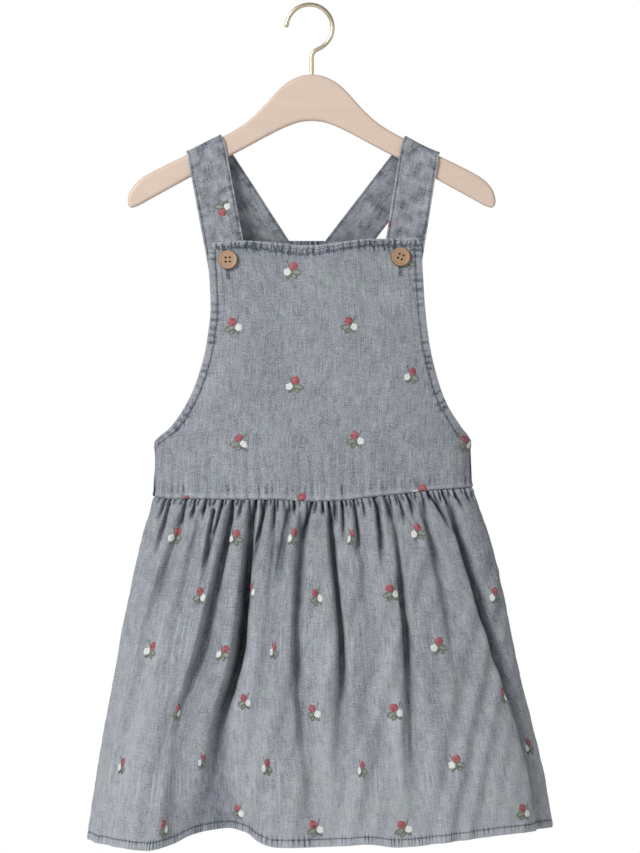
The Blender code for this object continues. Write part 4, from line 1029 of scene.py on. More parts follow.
def add_stitches(name, lines, material, length=STITCH_LENGTH, half_width=STITCH_HALF_WIDTH):
    """All stitches on some lines as one mesh: six-sided pods of thread with pointed, sunken ends."""
    centres, headings, normals = (np.concatenate(parts) for parts in zip(*lines))
    sides = np.cross(normals, headings)
    share, width, rise = np.array(STITCH_POD).T[..., None]
    angle = np.linspace(0, 2 * math.pi, 6, endpoint=False)
    a = (share * length * np.ones(angle.size)).ravel()
    b = (width * half_width * np.cos(angle)).ravel()
    c = (width * half_width * np.sin(angle) * 0.8 + rise).ravel()
    points = (
        centres[:, None]
        + headings[:, None] * a[None, :, None]
        + sides[:, None] * b[None, :, None]
        + normals[:, None] * c[None, :, None]
    )
    _, pod_faces = tube(np.zeros((len(STITCH_POD), angle.size, 3)))
    points, faces = many(points, turned_over(pod_faces))
    add_piece(name, points, faces, [material], sharp=80)


def bodice_stitch_lines(side):
    """Stitch lines of a bodice panel: down both armholes and across the top, which meet at the corners."""
    cloth = bodice_cloth(side)
    end = UNDERARM_SHARE * BODICE_HEIGHT - 3
    down = np.linspace(EDGE_BAND + 1, end, 160)
    half = np.interp(down, cloth.down, cloth.half)
    edge = 1 - EDGE_BAND * np.sqrt(1 + np.gradient(half, down) ** 2) / half
    top_half = float(np.interp(EDGE_BAND, cloth.down, cloth.half))
    top = np.linspace(-1, 1, 200) * (1 - EDGE_BAND / top_half)
    lines = [(edge, down), (-edge, down)]
    if side > 0:
        lines += [(top, row) for row in (EDGE_BAND, *reversed(CASING_ROWS))]
    else:
        middle = np.linspace(-0.62, 0.62, 160)
        lines += [(top, top_band(top * top_half)), (middle, top_band(middle * top_half) - 2.6)]
    return [stitch_frames(cloth, share, row) for share, row in lines]


# ---------------------------------------------------------------- embroidery


def lens(radius, profile, segments, centre, swirl=0.0):
    """A closed raised patch in the cloth's plane: rings at shares of a radius that may vary round it."""
    angle = np.linspace(0, 2 * math.pi, segments, endpoint=False)
    shares, heights = np.array(profile).T[..., None]
    spin = angle + swirl * shares
    reach = shares * radius(spin)
    strands = 0.10 * np.cos(9 * spin + 5 * shares) * ((heights > 0) & (shares > 0.1))
    x = centre[0] + reach * np.cos(spin)
    y = centre[1] + reach * np.sin(spin)
    points, faces = tube(np.stack([x, y, heights + strands], axis=-1))
    return points, turned_over(faces)


def leaf_outline(base, tip, width, count=18):
    """A pointed leaf's closed outline between two points: a sine bulge that narrows towards both ends."""
    base, tip = np.array(base, float), np.array(tip, float)
    run = tip - base
    normal = np.array([-run[1], run[0]]) / np.linalg.norm(run)
    t = np.linspace(0, 2 * math.pi, count, endpoint=False)
    along = (1 - np.cos(t)) / 2
    return base + run * along[:, None] + normal * (width / 2 * np.sin(t) * np.abs(np.sin(t)) ** 0.25)[:, None]


def thread_loop(path, radius=0.42, rise=0.34, closed=True):
    """A raised thread along a path in the cloth's plane: a five-sided tube."""
    path = np.column_stack([path, np.full(len(path), rise)])
    if closed:
        path = np.concatenate([path, path[:1]])
    rings = path_rings(path, np.array([0.0, 0.0, 1.0]), radius, 5)
    points, faces = tube(rings)
    return points, turned_over(faces)


@functools.cache
def sprig_template():
    """One sprig in the cloth's plane, in millimetres: its points, its faces and each face's thread."""
    parts = [
        (RED, lens(lambda a: 3.9 + 0.3 * np.cos(5 * a + 0.6), DOME, 26, (2.5, 2.8), 0.5)),
        (WHITE, lens(lambda a: 3.5 + 0.35 * np.cos(5 * a), HOLLOW_DOME, 25, (-3.2, -2.5))),
        (PALE_GREEN, lens(np.ones_like, PAD, 10, (4.6, -4.2))),
    ]
    for base, tip, width in LEAVES:
        outline = leaf_outline(base, tip, width)
        parts.append((GREEN, thread_loop(outline)))
        middle = outline.mean(axis=0)
        fill = middle + (outline - middle) * 0.9
        points, faces = tube(np.stack([np.column_stack([fill, np.full(len(fill), h)]) for h in (0.2, SUNK)]))
        parts.append((PALE_GREEN, (points, turned_over(faces))))
    knots, places = np.linspace(0, 1, len(STEM)), np.linspace(0, 1, 12)
    stem = np.stack([monotone(knots, values, places) for values in zip(*STEM)], axis=-1)
    parts.append((GREEN, thread_loop(stem, 0.36, 0.24, closed=False)))
    points, faces = joined([part for _, part in parts])
    kinds = [kind for kind, (_, part_faces) in parts for _ in part_faces]
    return points, faces, kinds


def upright(cloth, share, down, across, up):
    """Lengths across and down the cloth that lead `across` level and `up` plumb, where its grid leans."""
    reach = 5.0  # to each side, over which the grid's directions are read
    half = np.interp(down, cloth.down, cloth.half)
    high, low = np.maximum(down - reach, 0), np.minimum(down + reach, cloth.down[-1])
    left, right = np.maximum(share - reach / half, -1), np.minimum(share + reach / half, 1)
    level = (cloth.seat(right, down) - cloth.seat(left, down)) / ((right - left) * half)[..., None]
    plumb = (cloth.seat(share, low) - cloth.seat(share, high)) / np.maximum(low - high, 1)[..., None]
    level_run = np.hypot(level[..., 0], level[..., 1])
    plumb_run = (plumb[..., 0] * level[..., 0] + plumb[..., 1] * level[..., 1]) / level_run
    whole = level_run * plumb[..., 2] - level[..., 2] * plumb_run
    along_rows = (across * plumb[..., 2] - up * plumb_run) / whole
    down_columns = (up * level_run - across * level[..., 2]) / whole
    return along_rows, down_columns


def add_sprigs(name, cloth, places, threads, leaning=False):
    """Embroidery on one panel. Each place is (share, down, kind, width, turn in degrees, size).

    A sprig is laid along the cloth's own length, so folds carry it. What would pass the cloth's edge is
    tucked into the edge.
    """
    template, faces, kinds = sprig_template()
    share, down, kind, width, turn, size = (np.array(values, float)[:, None] for values in zip(*places))
    turn = np.radians(turn)
    a = template[None, :, 0] * kind * size
    b = template[None, :, 1] * size
    across = (a * np.cos(turn) - b * np.sin(turn)) * width
    up = a * np.sin(turn) + b * np.cos(turn)
    if leaning:
        across, along = upright(cloth, share, down, across, up)
        seat_share = share + across / np.interp(down, cloth.down, cloth.half)
    else:
        along, seat_share = -up, np.empty(up.shape)
        for k, row in enumerate(np.searchsorted(cloth.down, down[:, 0])):
            run = length_along(cloth.points[min(row, len(cloth.down) - 1)])
            start = np.interp(share[k, 0], cloth.share, run) + cloth_past(share[k, 0], cloth.half[0])
            seat_share[k] = np.interp(start + across[k], run, cloth.share, left=-2, right=2)
    tucked = -0.4  # height of what is tucked into the edge
    side, foot = 0.99, 0.6  # the share of the half width, and the height over the lower edge, where it starts
    over = (np.abs(seat_share) > side) | (down + along > cloth.down[-1] - foot)
    points = cloth.seat(seat_share, down + along, np.where(over, tucked, template[None, :, 2]))
    points, faces = many(points, faces, kind[:, 0] < 0)
    index = np.tile(kinds, len(places))
    add_piece(name, points, faces, threads, material_index=index, sharp=70)


def cloth_past(share, half):
    """How far past the cloth's edge a share lies, with the share's sign."""
    return (share - min(max(share, -1), 1)) * half


def jittered(places, seed):
    """Sprig places (share, down, kind, width, turn) with each one's small turn and change of size."""
    rng = np.random.default_rng(seed)
    return [(s, d, k, w, t + rng.uniform(-6, 6), rng.uniform(0.95, 1.05)) for s, d, k, w, t in places]


def placed(cloth, table):
    """The sprigs of a table on the front of the dress, as places on the cloth."""
    rows = [dict(zip(SPRIG_COLUMNS, row)) for row in table]
    return [(*cloth.spot_at(row["x"], row["z"], -1), row["kind"], row["width"], 0) for row in rows]


def lattice(cloth, first_row, last_down):
    """Sprig places in staggered rows over a whole panel."""
    places = []
    for r, down in enumerate(np.arange(first_row, last_down, SPRIG_ROW_STEP)):
        half = float(np.interp(down, cloth.down, cloth.half))
        start = SPRIG_COLUMN_STEP / 2 * (r % 2) - 2 * SPRIG_COLUMN_STEP - SPRIG_COLUMN_START
        for u in np.arange(start, half, SPRIG_COLUMN_STEP):
            if abs(u) < half - SPRIG_MARGIN:
                places.append((u / half, down, 1 if r % 2 else -1, 1, 0))
    return places


# ---------------------------------------------------------------- shader groups and materials

BUMP_DISTANCE = 0.0002  # metres of relief that a group's height of 1 stands for


def feed(tree, socket, value):
    """Links a value that is another node's output to a socket, or sets it on the socket."""
    if isinstance(value, bpy.types.NodeSocket):
        tree.links.new(value, socket)
    else:
        socket.default_value = value


def add_node(tree, kind, inputs=None, **settings):
    """A shader node with its settings, and its inputs linked to sockets or given values."""
    node = tree.nodes.new(kind)
    for label, value in settings.items():
        setattr(node, label, value)
    for label, value in (inputs or {}).items():
        feed(tree, node.inputs[label], value)
    return node


def new_group(name, inputs, outputs):
    """An empty shader group with named sockets, and its input and output nodes."""
    group = bpy.data.node_groups.new(name, "ShaderNodeTree")
    for label, kind, value in inputs:
        socket = group.interface.new_socket(label, in_out="INPUT", socket_type=f"NodeSocket{kind}")
        if value is not None:
            socket.default_value = value
    for label, kind in outputs:
        group.interface.new_socket(label, in_out="OUTPUT", socket_type=f"NodeSocket{kind}")
    return group, group.nodes.new("NodeGroupInput"), group.nodes.new("NodeGroupOutput")


def stretched_noise(tree, vector, stretch, detail=2.0, roughness=0.55, offset=(0, 0, 0)):
    """Noise whose features measure `stretch` millimetres along each axis of a vector in metres."""
    scale = tuple(1000 / s for s in stretch)
    moved = add_node(tree, "ShaderNodeMapping", {"Vector": vector, "Scale": scale, "Location": offset})
    noise = add_node(tree, "ShaderNodeTexNoise", {
        "Vector": moved.outputs["Vector"], "Scale": 1.0, "Detail": detail, "Roughness": roughness,
    })
    return noise.outputs["Fac"]


def maths(tree, operation, a, b=0.0, clamp=False):
    """The result of one Math node."""
    node = add_node(tree, "ShaderNodeMath", operation=operation, use_clamp=clamp)
    for socket, value in zip(node.inputs, (a, b)):
        feed(tree, socket, value)
    return node.outputs[0]


def blend_colours(tree, amount, first, second, mode="MIX"):
    """A Mix node between two colours."""
    node = add_node(tree, "ShaderNodeMix", data_type="RGBA", blend_type=mode)
    for number, value in ((0, amount), (6, first), (7, second)):  # the node's factor and its two colours
        feed(tree, node.inputs[number], value)
    return node.outputs[2]


def around(tree, noise, strength):
    """Noise turned into a signed amount: its middle value taken off, then scaled."""
    return maths(tree, "MULTIPLY", maths(tree, "SUBTRACT", noise, 0.5), strength)


@functools.cache
def chambray_group():
    """Washed chambray: pale and dark threads, uneven slubs, cloudy wash marks, the cloth's wear and painted
    shade.
    """
    group, given, result = new_group(
        "washed_chambray",
        [
            ("Cloth", "Vector", None), ("Wear and shade", "Float", 0.0), ("Clouds", "Float", 0.5),
            ("Dyed and shaded", "Color", (0, 0, 0, 1)), ("Faded", "Color", (1, 1, 1, 1)), ("Thread pitch", "Float", 0.5),
        ],
        [("Color", "Color"), ("Height", "Float")],
    )
    cloth = given.outputs["Cloth"]
    split = add_node(group, "ShaderNodeSeparateXYZ", {"Vector": cloth})
    turns = maths(group, "DIVIDE", 1000 * math.pi, given.outputs["Thread pitch"])
    warp = maths(group, "SINE", maths(group, "MULTIPLY", split.outputs["X"], turns))
    weft = maths(group, "SINE", maths(group, "MULTIPLY", split.outputs["Y"], turns))
    weave = maths(group, "MULTIPLY", warp, weft)
    slub = stretched_noise(group, cloth, (0.9, 18, 1), 3)
    cross_slub = stretched_noise(group, cloth, (12, 0.9, 1), 2, offset=(7, 3, 0))
    grit = stretched_noise(group, cloth, (1.2, 1.6, 1), 2, offset=(1, 9, 0))
    mottle = stretched_noise(group, cloth, (4.5, 8, 1), 3, 0.6, offset=(5, 2, 0))
    clouds = stretched_noise(group, cloth, (11, 15, 1), 4, 0.62, offset=(4, 5, 0))
    hue = stretched_noise(group, cloth, (19, 27, 1), 3, 0.6, offset=(9, 4, 0))
    wash = stretched_noise(group, cloth, (60, 90, 1), 2, offset=(2, 8, 0))
    # The tone follows the cloth's wear and its painted shade: darker in folds, creases and puckers, paler on
    # painted highlights.
    tone = maths(group, "ADD", 0.60, maths(group, "MULTIPLY", given.outputs["Wear and shade"], 0.5))
    for noise, strength in ((slub, 1.0), (cross_slub, 0.5), (grit, 1.15), (mottle, 0.45), (wash, 0.2)):
        tone = maths(group, "ADD", tone, around(group, noise, strength))
    cloudy = maths(group, "MULTIPLY", around(group, clouds, 1.1), given.outputs["Clouds"])
    tone = maths(group, "ADD", tone, cloudy)
    tone = maths(group, "ADD", tone, maths(group, "MULTIPLY", weave, 0.02), clamp=True)
    colour = blend_colours(group, tone, given.outputs["Dyed and shaded"], given.outputs["Faded"])
    amount = maths(group, "ADD", around(group, hue, 3.2), 0.5, clamp=True)
    tint = blend_colours(group, amount, (0.985, 1.035, 0.99, 1), (1.0, 1.0, 1.045, 1))
    tinted = blend_colours(group, 1.0, colour, tint, "MULTIPLY")
    height = maths(group, "ADD", maths(group, "MULTIPLY", weave, 0.2), maths(group, "ADD", slub, cross_slub))
    group.links.new(tinted, result.inputs["Color"])
    group.links.new(height, result.inputs["Height"])
    return group


@functools.cache
def thread_group():
    """Spun thread: a twisting sheen of light and dark along fine strands."""
    group, given, result = new_group(
        "spun_thread",
        [("Place", "Vector", None), ("Light", "Color", (1, 1, 1, 1)), ("Dark", "Color", (0, 0, 0, 1))],
        [("Color", "Color"), ("Height", "Float")],
    )
    strands = stretched_noise(group, given.outputs["Place"], (0.35, 0.8, 0.5), 2)
    patches = stretched_noise(group, given.outputs["Place"], (2.6, 2.6, 2.6), 1, offset=(3, 1, 2))
    twist = maths(group, "MULTIPLY", strands, 0.9)
    amount = maths(group, "ADD", twist, around(group, patches, 1.3), clamp=True)
    colour = blend_colours(group, amount, given.outputs["Dark"], given.outputs["Light"])
    group.links.new(colour, result.inputs["Color"])
    group.links.new(strands, result.inputs["Height"])
    return group


@functools.cache
def wood_group():
    """Planed wood: long grain lines, fine pores and a slow change of tone."""
    group, given, result = new_group(
        "planed_wood",
        [("Grain", "Vector", None), ("Light", "Color", (1, 1, 1, 1)), ("Dark", "Color", (0, 0, 0, 1)),
         ("Contrast", "Float", 1.0)],
        [("Color", "Color"), ("Height", "Float")],
    )
    lines = stretched_noise(group, given.outputs["Grain"], (70, 1.6, 1.6), 4, 0.6)
    pores = stretched_noise(group, given.outputs["Grain"], (5, 0.35, 0.35), 2, offset=(3, 5, 1))
    slow = stretched_noise(group, given.outputs["Grain"], (90, 14, 14), 2, offset=(8, 2, 6))
    amount = maths(group, "ADD", around(group, lines, 1.5), around(group, pores, 0.5))
    amount = maths(group, "ADD", amount, around(group, slow, 0.9))
    amount = maths(group, "ADD", maths(group, "MULTIPLY", amount, given.outputs["Contrast"]), 0.5, clamp=True)
    colour = blend_colours(group, amount, given.outputs["Dark"], given.outputs["Light"])
    group.links.new(colour, result.inputs["Color"])
    group.links.new(maths(group, "ADD", lines, pores), result.inputs["Height"])
    return group


def new_material(name, roughness, **constants):
    """A material with its Principled shader, and constants set on the shader's own sockets."""
    material = bpy.data.materials.new(name)
    material.use_nodes = True
    tree = material.node_tree
    shader = tree.nodes["Principled BSDF"]
    shader.inputs["Roughness"].default_value = roughness
    for label, value in constants.items():
        shader.inputs[label.replace("_", " ")].default_value = value
    return material, tree, shader


def use_group(tree, shader, group, inputs, bump):
    """Places a group in a material: its colour, and its height through a Bump node of the given strength."""
    node = add_node(tree, "ShaderNodeGroup", node_tree=group)
    for label, value in inputs.items():
        feed(tree, node.inputs[label], value)
    tree.links.new(node.outputs["Color"], shader.inputs["Base Color"])
    relief = {"Height": node.outputs["Height"], "Strength": bump, "Distance": BUMP_DISTANCE}
    lift = add_node(tree, "ShaderNodeBump", relief)
    tree.links.new(lift.outputs["Normal"], shader.inputs["Normal"])
    return node


def chambray(name, look, clouds, darker=1.0):
    """The dress's cloth, which reads the cloth's own UV map and its wear and painted shade."""
    material, tree, shader = new_material(
        name, roughness=0.93, Specular_IOR_Level=0.18, Sheen_Weight=0.12, Sheen_Roughness=0.6
    )
    inputs = {
        "Cloth": add_node(tree, "ShaderNodeUVMap", uv_map="cloth").outputs["UV"],
        "Wear and shade": add_node(tree, "ShaderNodeAttribute", attribute_name="wear_and_shade").outputs["Fac"],
        "Clouds": clouds,
        "Dyed and shaded": (*darkened(look.dyed_and_shaded, darker), 1),
        "Faded": (*darkened(look.faded, darker), 1),
        "Thread pitch": look.thread_pitch * 1000,
    }
    use_group(tree, shader, chambray_group(), inputs, bump=0.35)
    return material


def thread(name, light, dark):
    """Sewing or embroidery thread."""
    material, tree, shader = new_material(name, roughness=0.62, Specular_IOR_Level=0.35, Sheen_Weight=0.1)
    place = add_node(tree, "ShaderNodeTexCoord").outputs["Object"]
    inputs = {"Place": place, "Light": (*light, 1), "Dark": (*dark, 1)}
    use_group(tree, shader, thread_group(), inputs, bump=0.5)
    return material


def wood(name, light, dark, contrast, roughness, turn=0.0, burn_and_shade=None):
    """Finished wood, grain along X unless turned, darkened where its attribute asks: burn and painted shade.
    """
    material, tree, shader = new_material(name, roughness, Coat_Weight=0.12, Coat_Roughness=0.35)
    place = add_node(tree, "ShaderNodeTexCoord").outputs["Object"]
    place = add_node(tree, "ShaderNodeMapping", {"Vector": place, "Rotation": (0, turn, 0)}).outputs["Vector"]
    inputs = {"Grain": place, "Light": (*light, 1), "Dark": (*dark, 1), "Contrast": contrast}
    node = use_group(tree, shader, wood_group(), inputs, bump=0.15)
    if burn_and_shade:
        amount = add_node(tree, "ShaderNodeAttribute", attribute_name="burn_and_shade").outputs["Fac"]
        colour = blend_colours(tree, amount, node.outputs["Color"], (*burn_and_shade, 1))
        tree.links.new(colour, shader.inputs["Base Color"])
    return material


def brass(look):
    """Drawn brass wire: fine lines along it, slightly uneven gloss."""
    material, tree, shader = new_material("brass_wire", roughness=0.3, Metallic=1.0)
    place = add_node(tree, "ShaderNodeTexCoord").outputs["Object"]
    marks = stretched_noise(tree, place, (1.2, 0.25, 1.2), 3)
    tarnish = stretched_noise(tree, place, (9, 9, 9), 3, offset=(1, 2, 3))
    pale, deep = (*look.brass, 1), (*darkened(look.brass, 0.72), 1)
    drawn = maths(tree, "MULTIPLY", marks, 0.3)
    amount = maths(tree, "ADD", maths(tree, "MULTIPLY", tarnish, 0.7), drawn, clamp=True)
    tree.links.new(blend_colours(tree, amount, deep, pale), shader.inputs["Base Color"])
    rough = maths(tree, "ADD", 0.2, maths(tree, "MULTIPLY", marks, 0.22))
    tree.links.new(rough, shader.inputs["Roughness"])
    lift = add_node(tree, "ShaderNodeBump", {"Height": marks, "Strength": 0.12, "Distance": 0.0001})
    tree.links.new(lift.outputs["Normal"], shader.inputs["Normal"])
    return material


# ---------------------------------------------------------------- settings and operators


class PinaforeSettings(bpy.types.PropertyGroup):
    """Colours and sizes that a user may change before making the pieces."""

    faded: bpy.props.FloatVectorProperty(
        name="Faded cloth", description="Colour of the chambray where the wash has worn it palest",
        subtype="COLOR", size=3, min=0, max=1, default=(0.42, 0.432, 0.462))
    # The dyed colour is also what painted shade in folds, creases and puckers darkens the cloth towards.
    dyed_and_shaded: bpy.props.FloatVectorProperty(
        name="Dyed cloth", description="Colour of the chambray where the dye is deepest",
        subtype="COLOR", size=3, min=0, max=1, default=(0.05, 0.06, 0.085))
    thread_pitch: bpy.props.FloatProperty(
        name="Thread pitch", description="Distance between the chambray's threads", unit="LENGTH",
        subtype="DISTANCE", min=0.0001, default=0.00042, precision=5)
    cloth_thickness: bpy.props.FloatProperty(
        name="Cloth thickness", description="Thickness of one layer of chambray", unit="LENGTH",
        subtype="DISTANCE", min=0.0002, default=CLOTH * MM, precision=4)
    sewing: bpy.props.FloatVectorProperty(
        name="Sewing thread", description="Colour of the seams' thread",
        subtype="COLOR", size=3, min=0, max=1, default=(0.03, 0.04, 0.07))
    red: bpy.props.FloatVectorProperty(
        name="Red thread", description="Colour of the large blooms",
        subtype="COLOR", size=3, min=0, max=1, default=(0.46, 0.045, 0.07))
    white: bpy.props.FloatVectorProperty(
        name="White thread", description="Colour of the small blooms",
        subtype="COLOR", size=3, min=0, max=1, default=(0.76, 0.765, 0.745))
    green: bpy.props.FloatVectorProperty(
        name="Green thread", description="Colour of the leaves' outlines and stems",
        subtype="COLOR", size=3, min=0, max=1, default=(0.16, 0.19, 0.145))
    hanger: bpy.props.FloatVectorProperty(
        name="Hanger wood", description="Colour of the hanger's wood",
        subtype="COLOR", size=3, min=0, max=1, default=(0.70, 0.54, 0.43))
    button: bpy.props.FloatVectorProperty(
        name="Button wood", description="Colour of the buttons",
        subtype="COLOR", size=3, min=0, max=1, default=(0.42, 0.24, 0.115))
    brass: bpy.props.FloatVectorProperty(
        name="Brass", description="Colour of the hook's wire",
        subtype="COLOR", size=3, min=0, max=1, default=(0.86, 0.74, 0.52))
    camera_distance: bpy.props.FloatProperty(
        name="Camera distance", description="How far in front of the dress the camera stands", unit="LENGTH",
        subtype="DISTANCE", min=0.5, default=3.0)
    key_power: bpy.props.FloatProperty(
        name="Key light", description="Power of the large light at the upper left", unit="POWER",
        subtype="POWER", min=0, default=80)
    sky: bpy.props.FloatProperty(
        name="Room light", description="Strength of the light from all round", min=0, default=0.30)


def mixed(colour, amount, towards):
    """A colour part of the way towards a grey level."""
    return tuple(c + (towards - c) * amount for c in colour)


def darkened(colour, share):
    """A colour scaled down to a share of its light."""
    return tuple(share * c for c in colour)


class PINAFORE_OT_skirt(bpy.types.Operator):
    """Makes the gathered front and back skirt panels as thin closed shells"""

    bl_idname = "pinafore.skirt"
    bl_label = "Skirt"

    def execute(self, context):
        look = context.scene.pinafore
        material = chambray("chambray_skirt", look, clouds=0.5)
        for name, side in (("front", -1), ("back", 1)):
            piece = add_cloth(f"skirt_{name}_cloth", skirt_cloth(side), look.cloth_thickness / MM, material)
            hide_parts(f"skirt_{name}")
        return {"FINISHED"}


class PINAFORE_OT_bodice(bpy.types.Operator):
    """Makes the bib and the elastic-backed bodice panel with their turned edges"""

    bl_idname = "pinafore.bodice"
    bl_label = "Bodice"

    def execute(self, context):
        look = context.scene.pinafore
        material = chambray("chambray_bodice", look, clouds=0.42)
        for name, side in (("front", -1), ("back", 1)):
            cloth = bodice_cloth(side)
            piece = add_cloth(f"bodice_{name}_cloth", cloth, look.cloth_thickness / MM, material)
            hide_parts(f"bodice_{name}")
        return {"FINISHED"}


class PINAFORE_OT_straps(bpy.types.Operator):
    """Makes both straps, over the hanger from the bib's back to the inside of the back"""

    bl_idname = "pinafore.straps"
    bl_label = "Straps"

    def execute(self, context):
        material = chambray("chambray_straps", context.scene.pinafore, clouds=1.3, darker=0.95)
        for key in STRAPS:
            cloth = strap_cloth(key)
            piece = add_cloth(f"strap_{key}_cloth", cloth, STRAP_SHELL, material)
            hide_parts(f"strap_{key}")
        return {"FINISHED"}


class PINAFORE_OT_stitching(bpy.types.Operator):
    """Sews the hems, armholes, casing and straps with raised stitches, one mesh for each panel"""

    bl_idname = "pinafore.stitching"
    bl_label = "Stitching"

    def execute(self, context):
        look = context.scene.pinafore
        sewing = thread("sewing_thread", mixed(look.sewing, 0.12, 1.0), look.sewing)
        hem = np.linspace(-0.995, 0.995, 700)  # shares of the half width, almost from seam to seam
        for name, side in (("front", -1), ("back", 1)):
            line = stitch_frames(skirt_cloth(side), hem, SKIRT_LENGTH - HEM_BAND)
            add_stitches(f"hem_stitches_{name}", [line], sewing)
            add_stitches(f"bodice_stitches_{name}", bodice_stitch_lines(side), sewing)
        edge = 1 - STRAP_STITCH / (STRAP_WIDTH / 2)
        for key in STRAPS:
            cloth = strap_cloth(key)
            length = cloth.down[-1]
            whole = np.linspace(2, length - 2, 300)
            behind = np.linspace(BACK_LEG_SHARE * length, length - 2, 150)
            spacing = {"pitch": STRAP_STITCH_PITCH, "span": STRAP_STITCH_LENGTH}
            lines = [stitch_frames(cloth, share, whole, **spacing) for share in (-edge, edge)]
            for share in (-edge, edge):
                centre, heading, normal = stitch_frames(cloth, share, behind, rise=-STRAP_THICK, **spacing)
                lines.append((centre, heading, -normal))
            add_stitches(f"strap_stitches_{key}", lines, sewing, STRAP_STITCH_LENGTH, STRAP_STITCH_HALF_WIDTH)
        return {"FINISHED"}


class PINAFORE_OT_embroidery(bpy.types.Operator):
    """Scatters the sprigs: a red bloom, a white bloom, and outlined leaves on a stem"""

    bl_idname = "pinafore.embroidery"
    bl_label = "Embroidery"

    def execute(self, context):
        look = context.scene.pinafore
        threads = [
            thread("red_thread", mixed(look.red, 0.16, 0.9), darkened(look.red, 0.45)),
            thread("white_thread", look.white, mixed(look.white, 0.35, 0.4)),
            thread("green_thread", mixed(look.green, 0.2, 0.6), mixed(look.green, 0.5, 0.02)),
            thread("pale_green_thread", mixed(look.green, 0.35, 0.75), look.green),
        ]
        front, back = skirt_cloth(-1), skirt_cloth(1)
        bib, rear = bodice_cloth(-1), bodice_cloth(1)
        add_sprigs("embroidery_skirt_front", front, jittered(placed(front, SKIRT_SPRIGS), 21), threads)
        scattered = jittered(lattice(back, first_row=31, last_down=305), 22)
        add_sprigs("embroidery_skirt_back", back, scattered, threads)
        add_sprigs("embroidery_bib", bib, jittered(placed(bib, BIB_SPRIGS), 23), threads, leaning=True)
        scattered = jittered(lattice(rear, first_row=28, last_down=BODICE_HEIGHT - SPRIG_MARGIN), 24)
        add_sprigs("embroidery_back", rear, scattered, threads, leaning=True)
        for seed, key in enumerate(STRAPS, start=25):
            places = jittered(STRAP_SPRIGS[key], seed)
            add_sprigs(f"embroidery_strap_{key}", strap_cloth(key), places, threads)
        return {"FINISHED"}


def button_frame(key):
    """The middle of a button's underside, and its right, up and outward directions on the bib."""
    low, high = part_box(f"button_{key}")
    x, y, z = ((low[k] + high[k]) / 2 / MM for k in range(3))
    step = 4.0  # to each side, over which the bib's slope is read
    slope_x = float(body_y(x + step, z, -1) - body_y(x - step, z, -1)) / (2 * step)
    slope_z = float(body_y(x, z + step, -1) - body_y(x, z - step, -1)) / (2 * step)
    out = np.array([slope_x, -1, slope_z])
    out /= np.linalg.norm(out)
    right = np.cross([0.0, 0.0, 1.0], out)
    right /= np.linalg.norm(right)
    return np.array([x, y, z]) - out * BUTTON_THICK / 2, right, np.cross(out, right), out


def button_profile():
    """A button's section, from its middle over the rim and back under it: share of the radius, and height."""
    face = np.linspace(0.02, 0.86, 38)
    dished = BUTTON_THICK * (0.88 + 0.12 * smoothstep(0.66, 0.84, face))
    rim = np.radians(np.linspace(75, -75, 13))
    return np.concatenate([
        np.column_stack([face, dished]),
        np.column_stack([0.90 + 0.10 * np.cos(rim), BUTTON_THICK * (0.5 + 0.5 * np.sin(rim))]),
        [(0.7, 0), (0.05, 0)],
    ])


def drilled(profile, turn):
    """A button's points across, up and out from its middle, with four holes, and its burn and painted shade.
    """
    angle = np.linspace(0, 2 * math.pi, BUTTON_SIDES, endpoint=False)
    across = BUTTON_RADIUS * profile[:, :1] * np.cos(angle)
    along = BUTTON_RADIUS * profile[:, :1] * np.sin(angle)
    height = np.broadcast_to(profile[:, 1:], across.shape).copy()
    # The rim is darkened from 0.91 of the radius outwards, and each hole's edge out to 1.25 from its middle:
    # burnt wood, and painted shade.
    burn_and_shade = np.broadcast_to(0.9 * smoothstep(0.91, 0.985, profile[:, :1]), across.shape).copy()
    # The holes are sunk only in the face inside the rim, not in the rim or the underside.
    face = ((profile[:, 0] < 0.87) & (profile[:, 1] > 0.5 * BUTTON_THICK))[:, None]
    reach = BUTTON_HOLE_SPACING / math.sqrt(2)
    for hole in np.radians(45 + turn + 90 * np.arange(4)):
        far = np.hypot(across - reach * math.cos(hole), along - reach * math.sin(hole))
        wall = smoothstep(BUTTON_HOLE_RADIUS - 0.12, BUTTON_HOLE_RADIUS + 0.08, far)
        height -= BUTTON_HOLE_DEPTH * (1 - wall) * face
        burn_and_shade = np.maximum(burn_and_shade, (1 - smoothstep(0.7, 1.25, far)) * face)
    return across, along, height, burn_and_shade


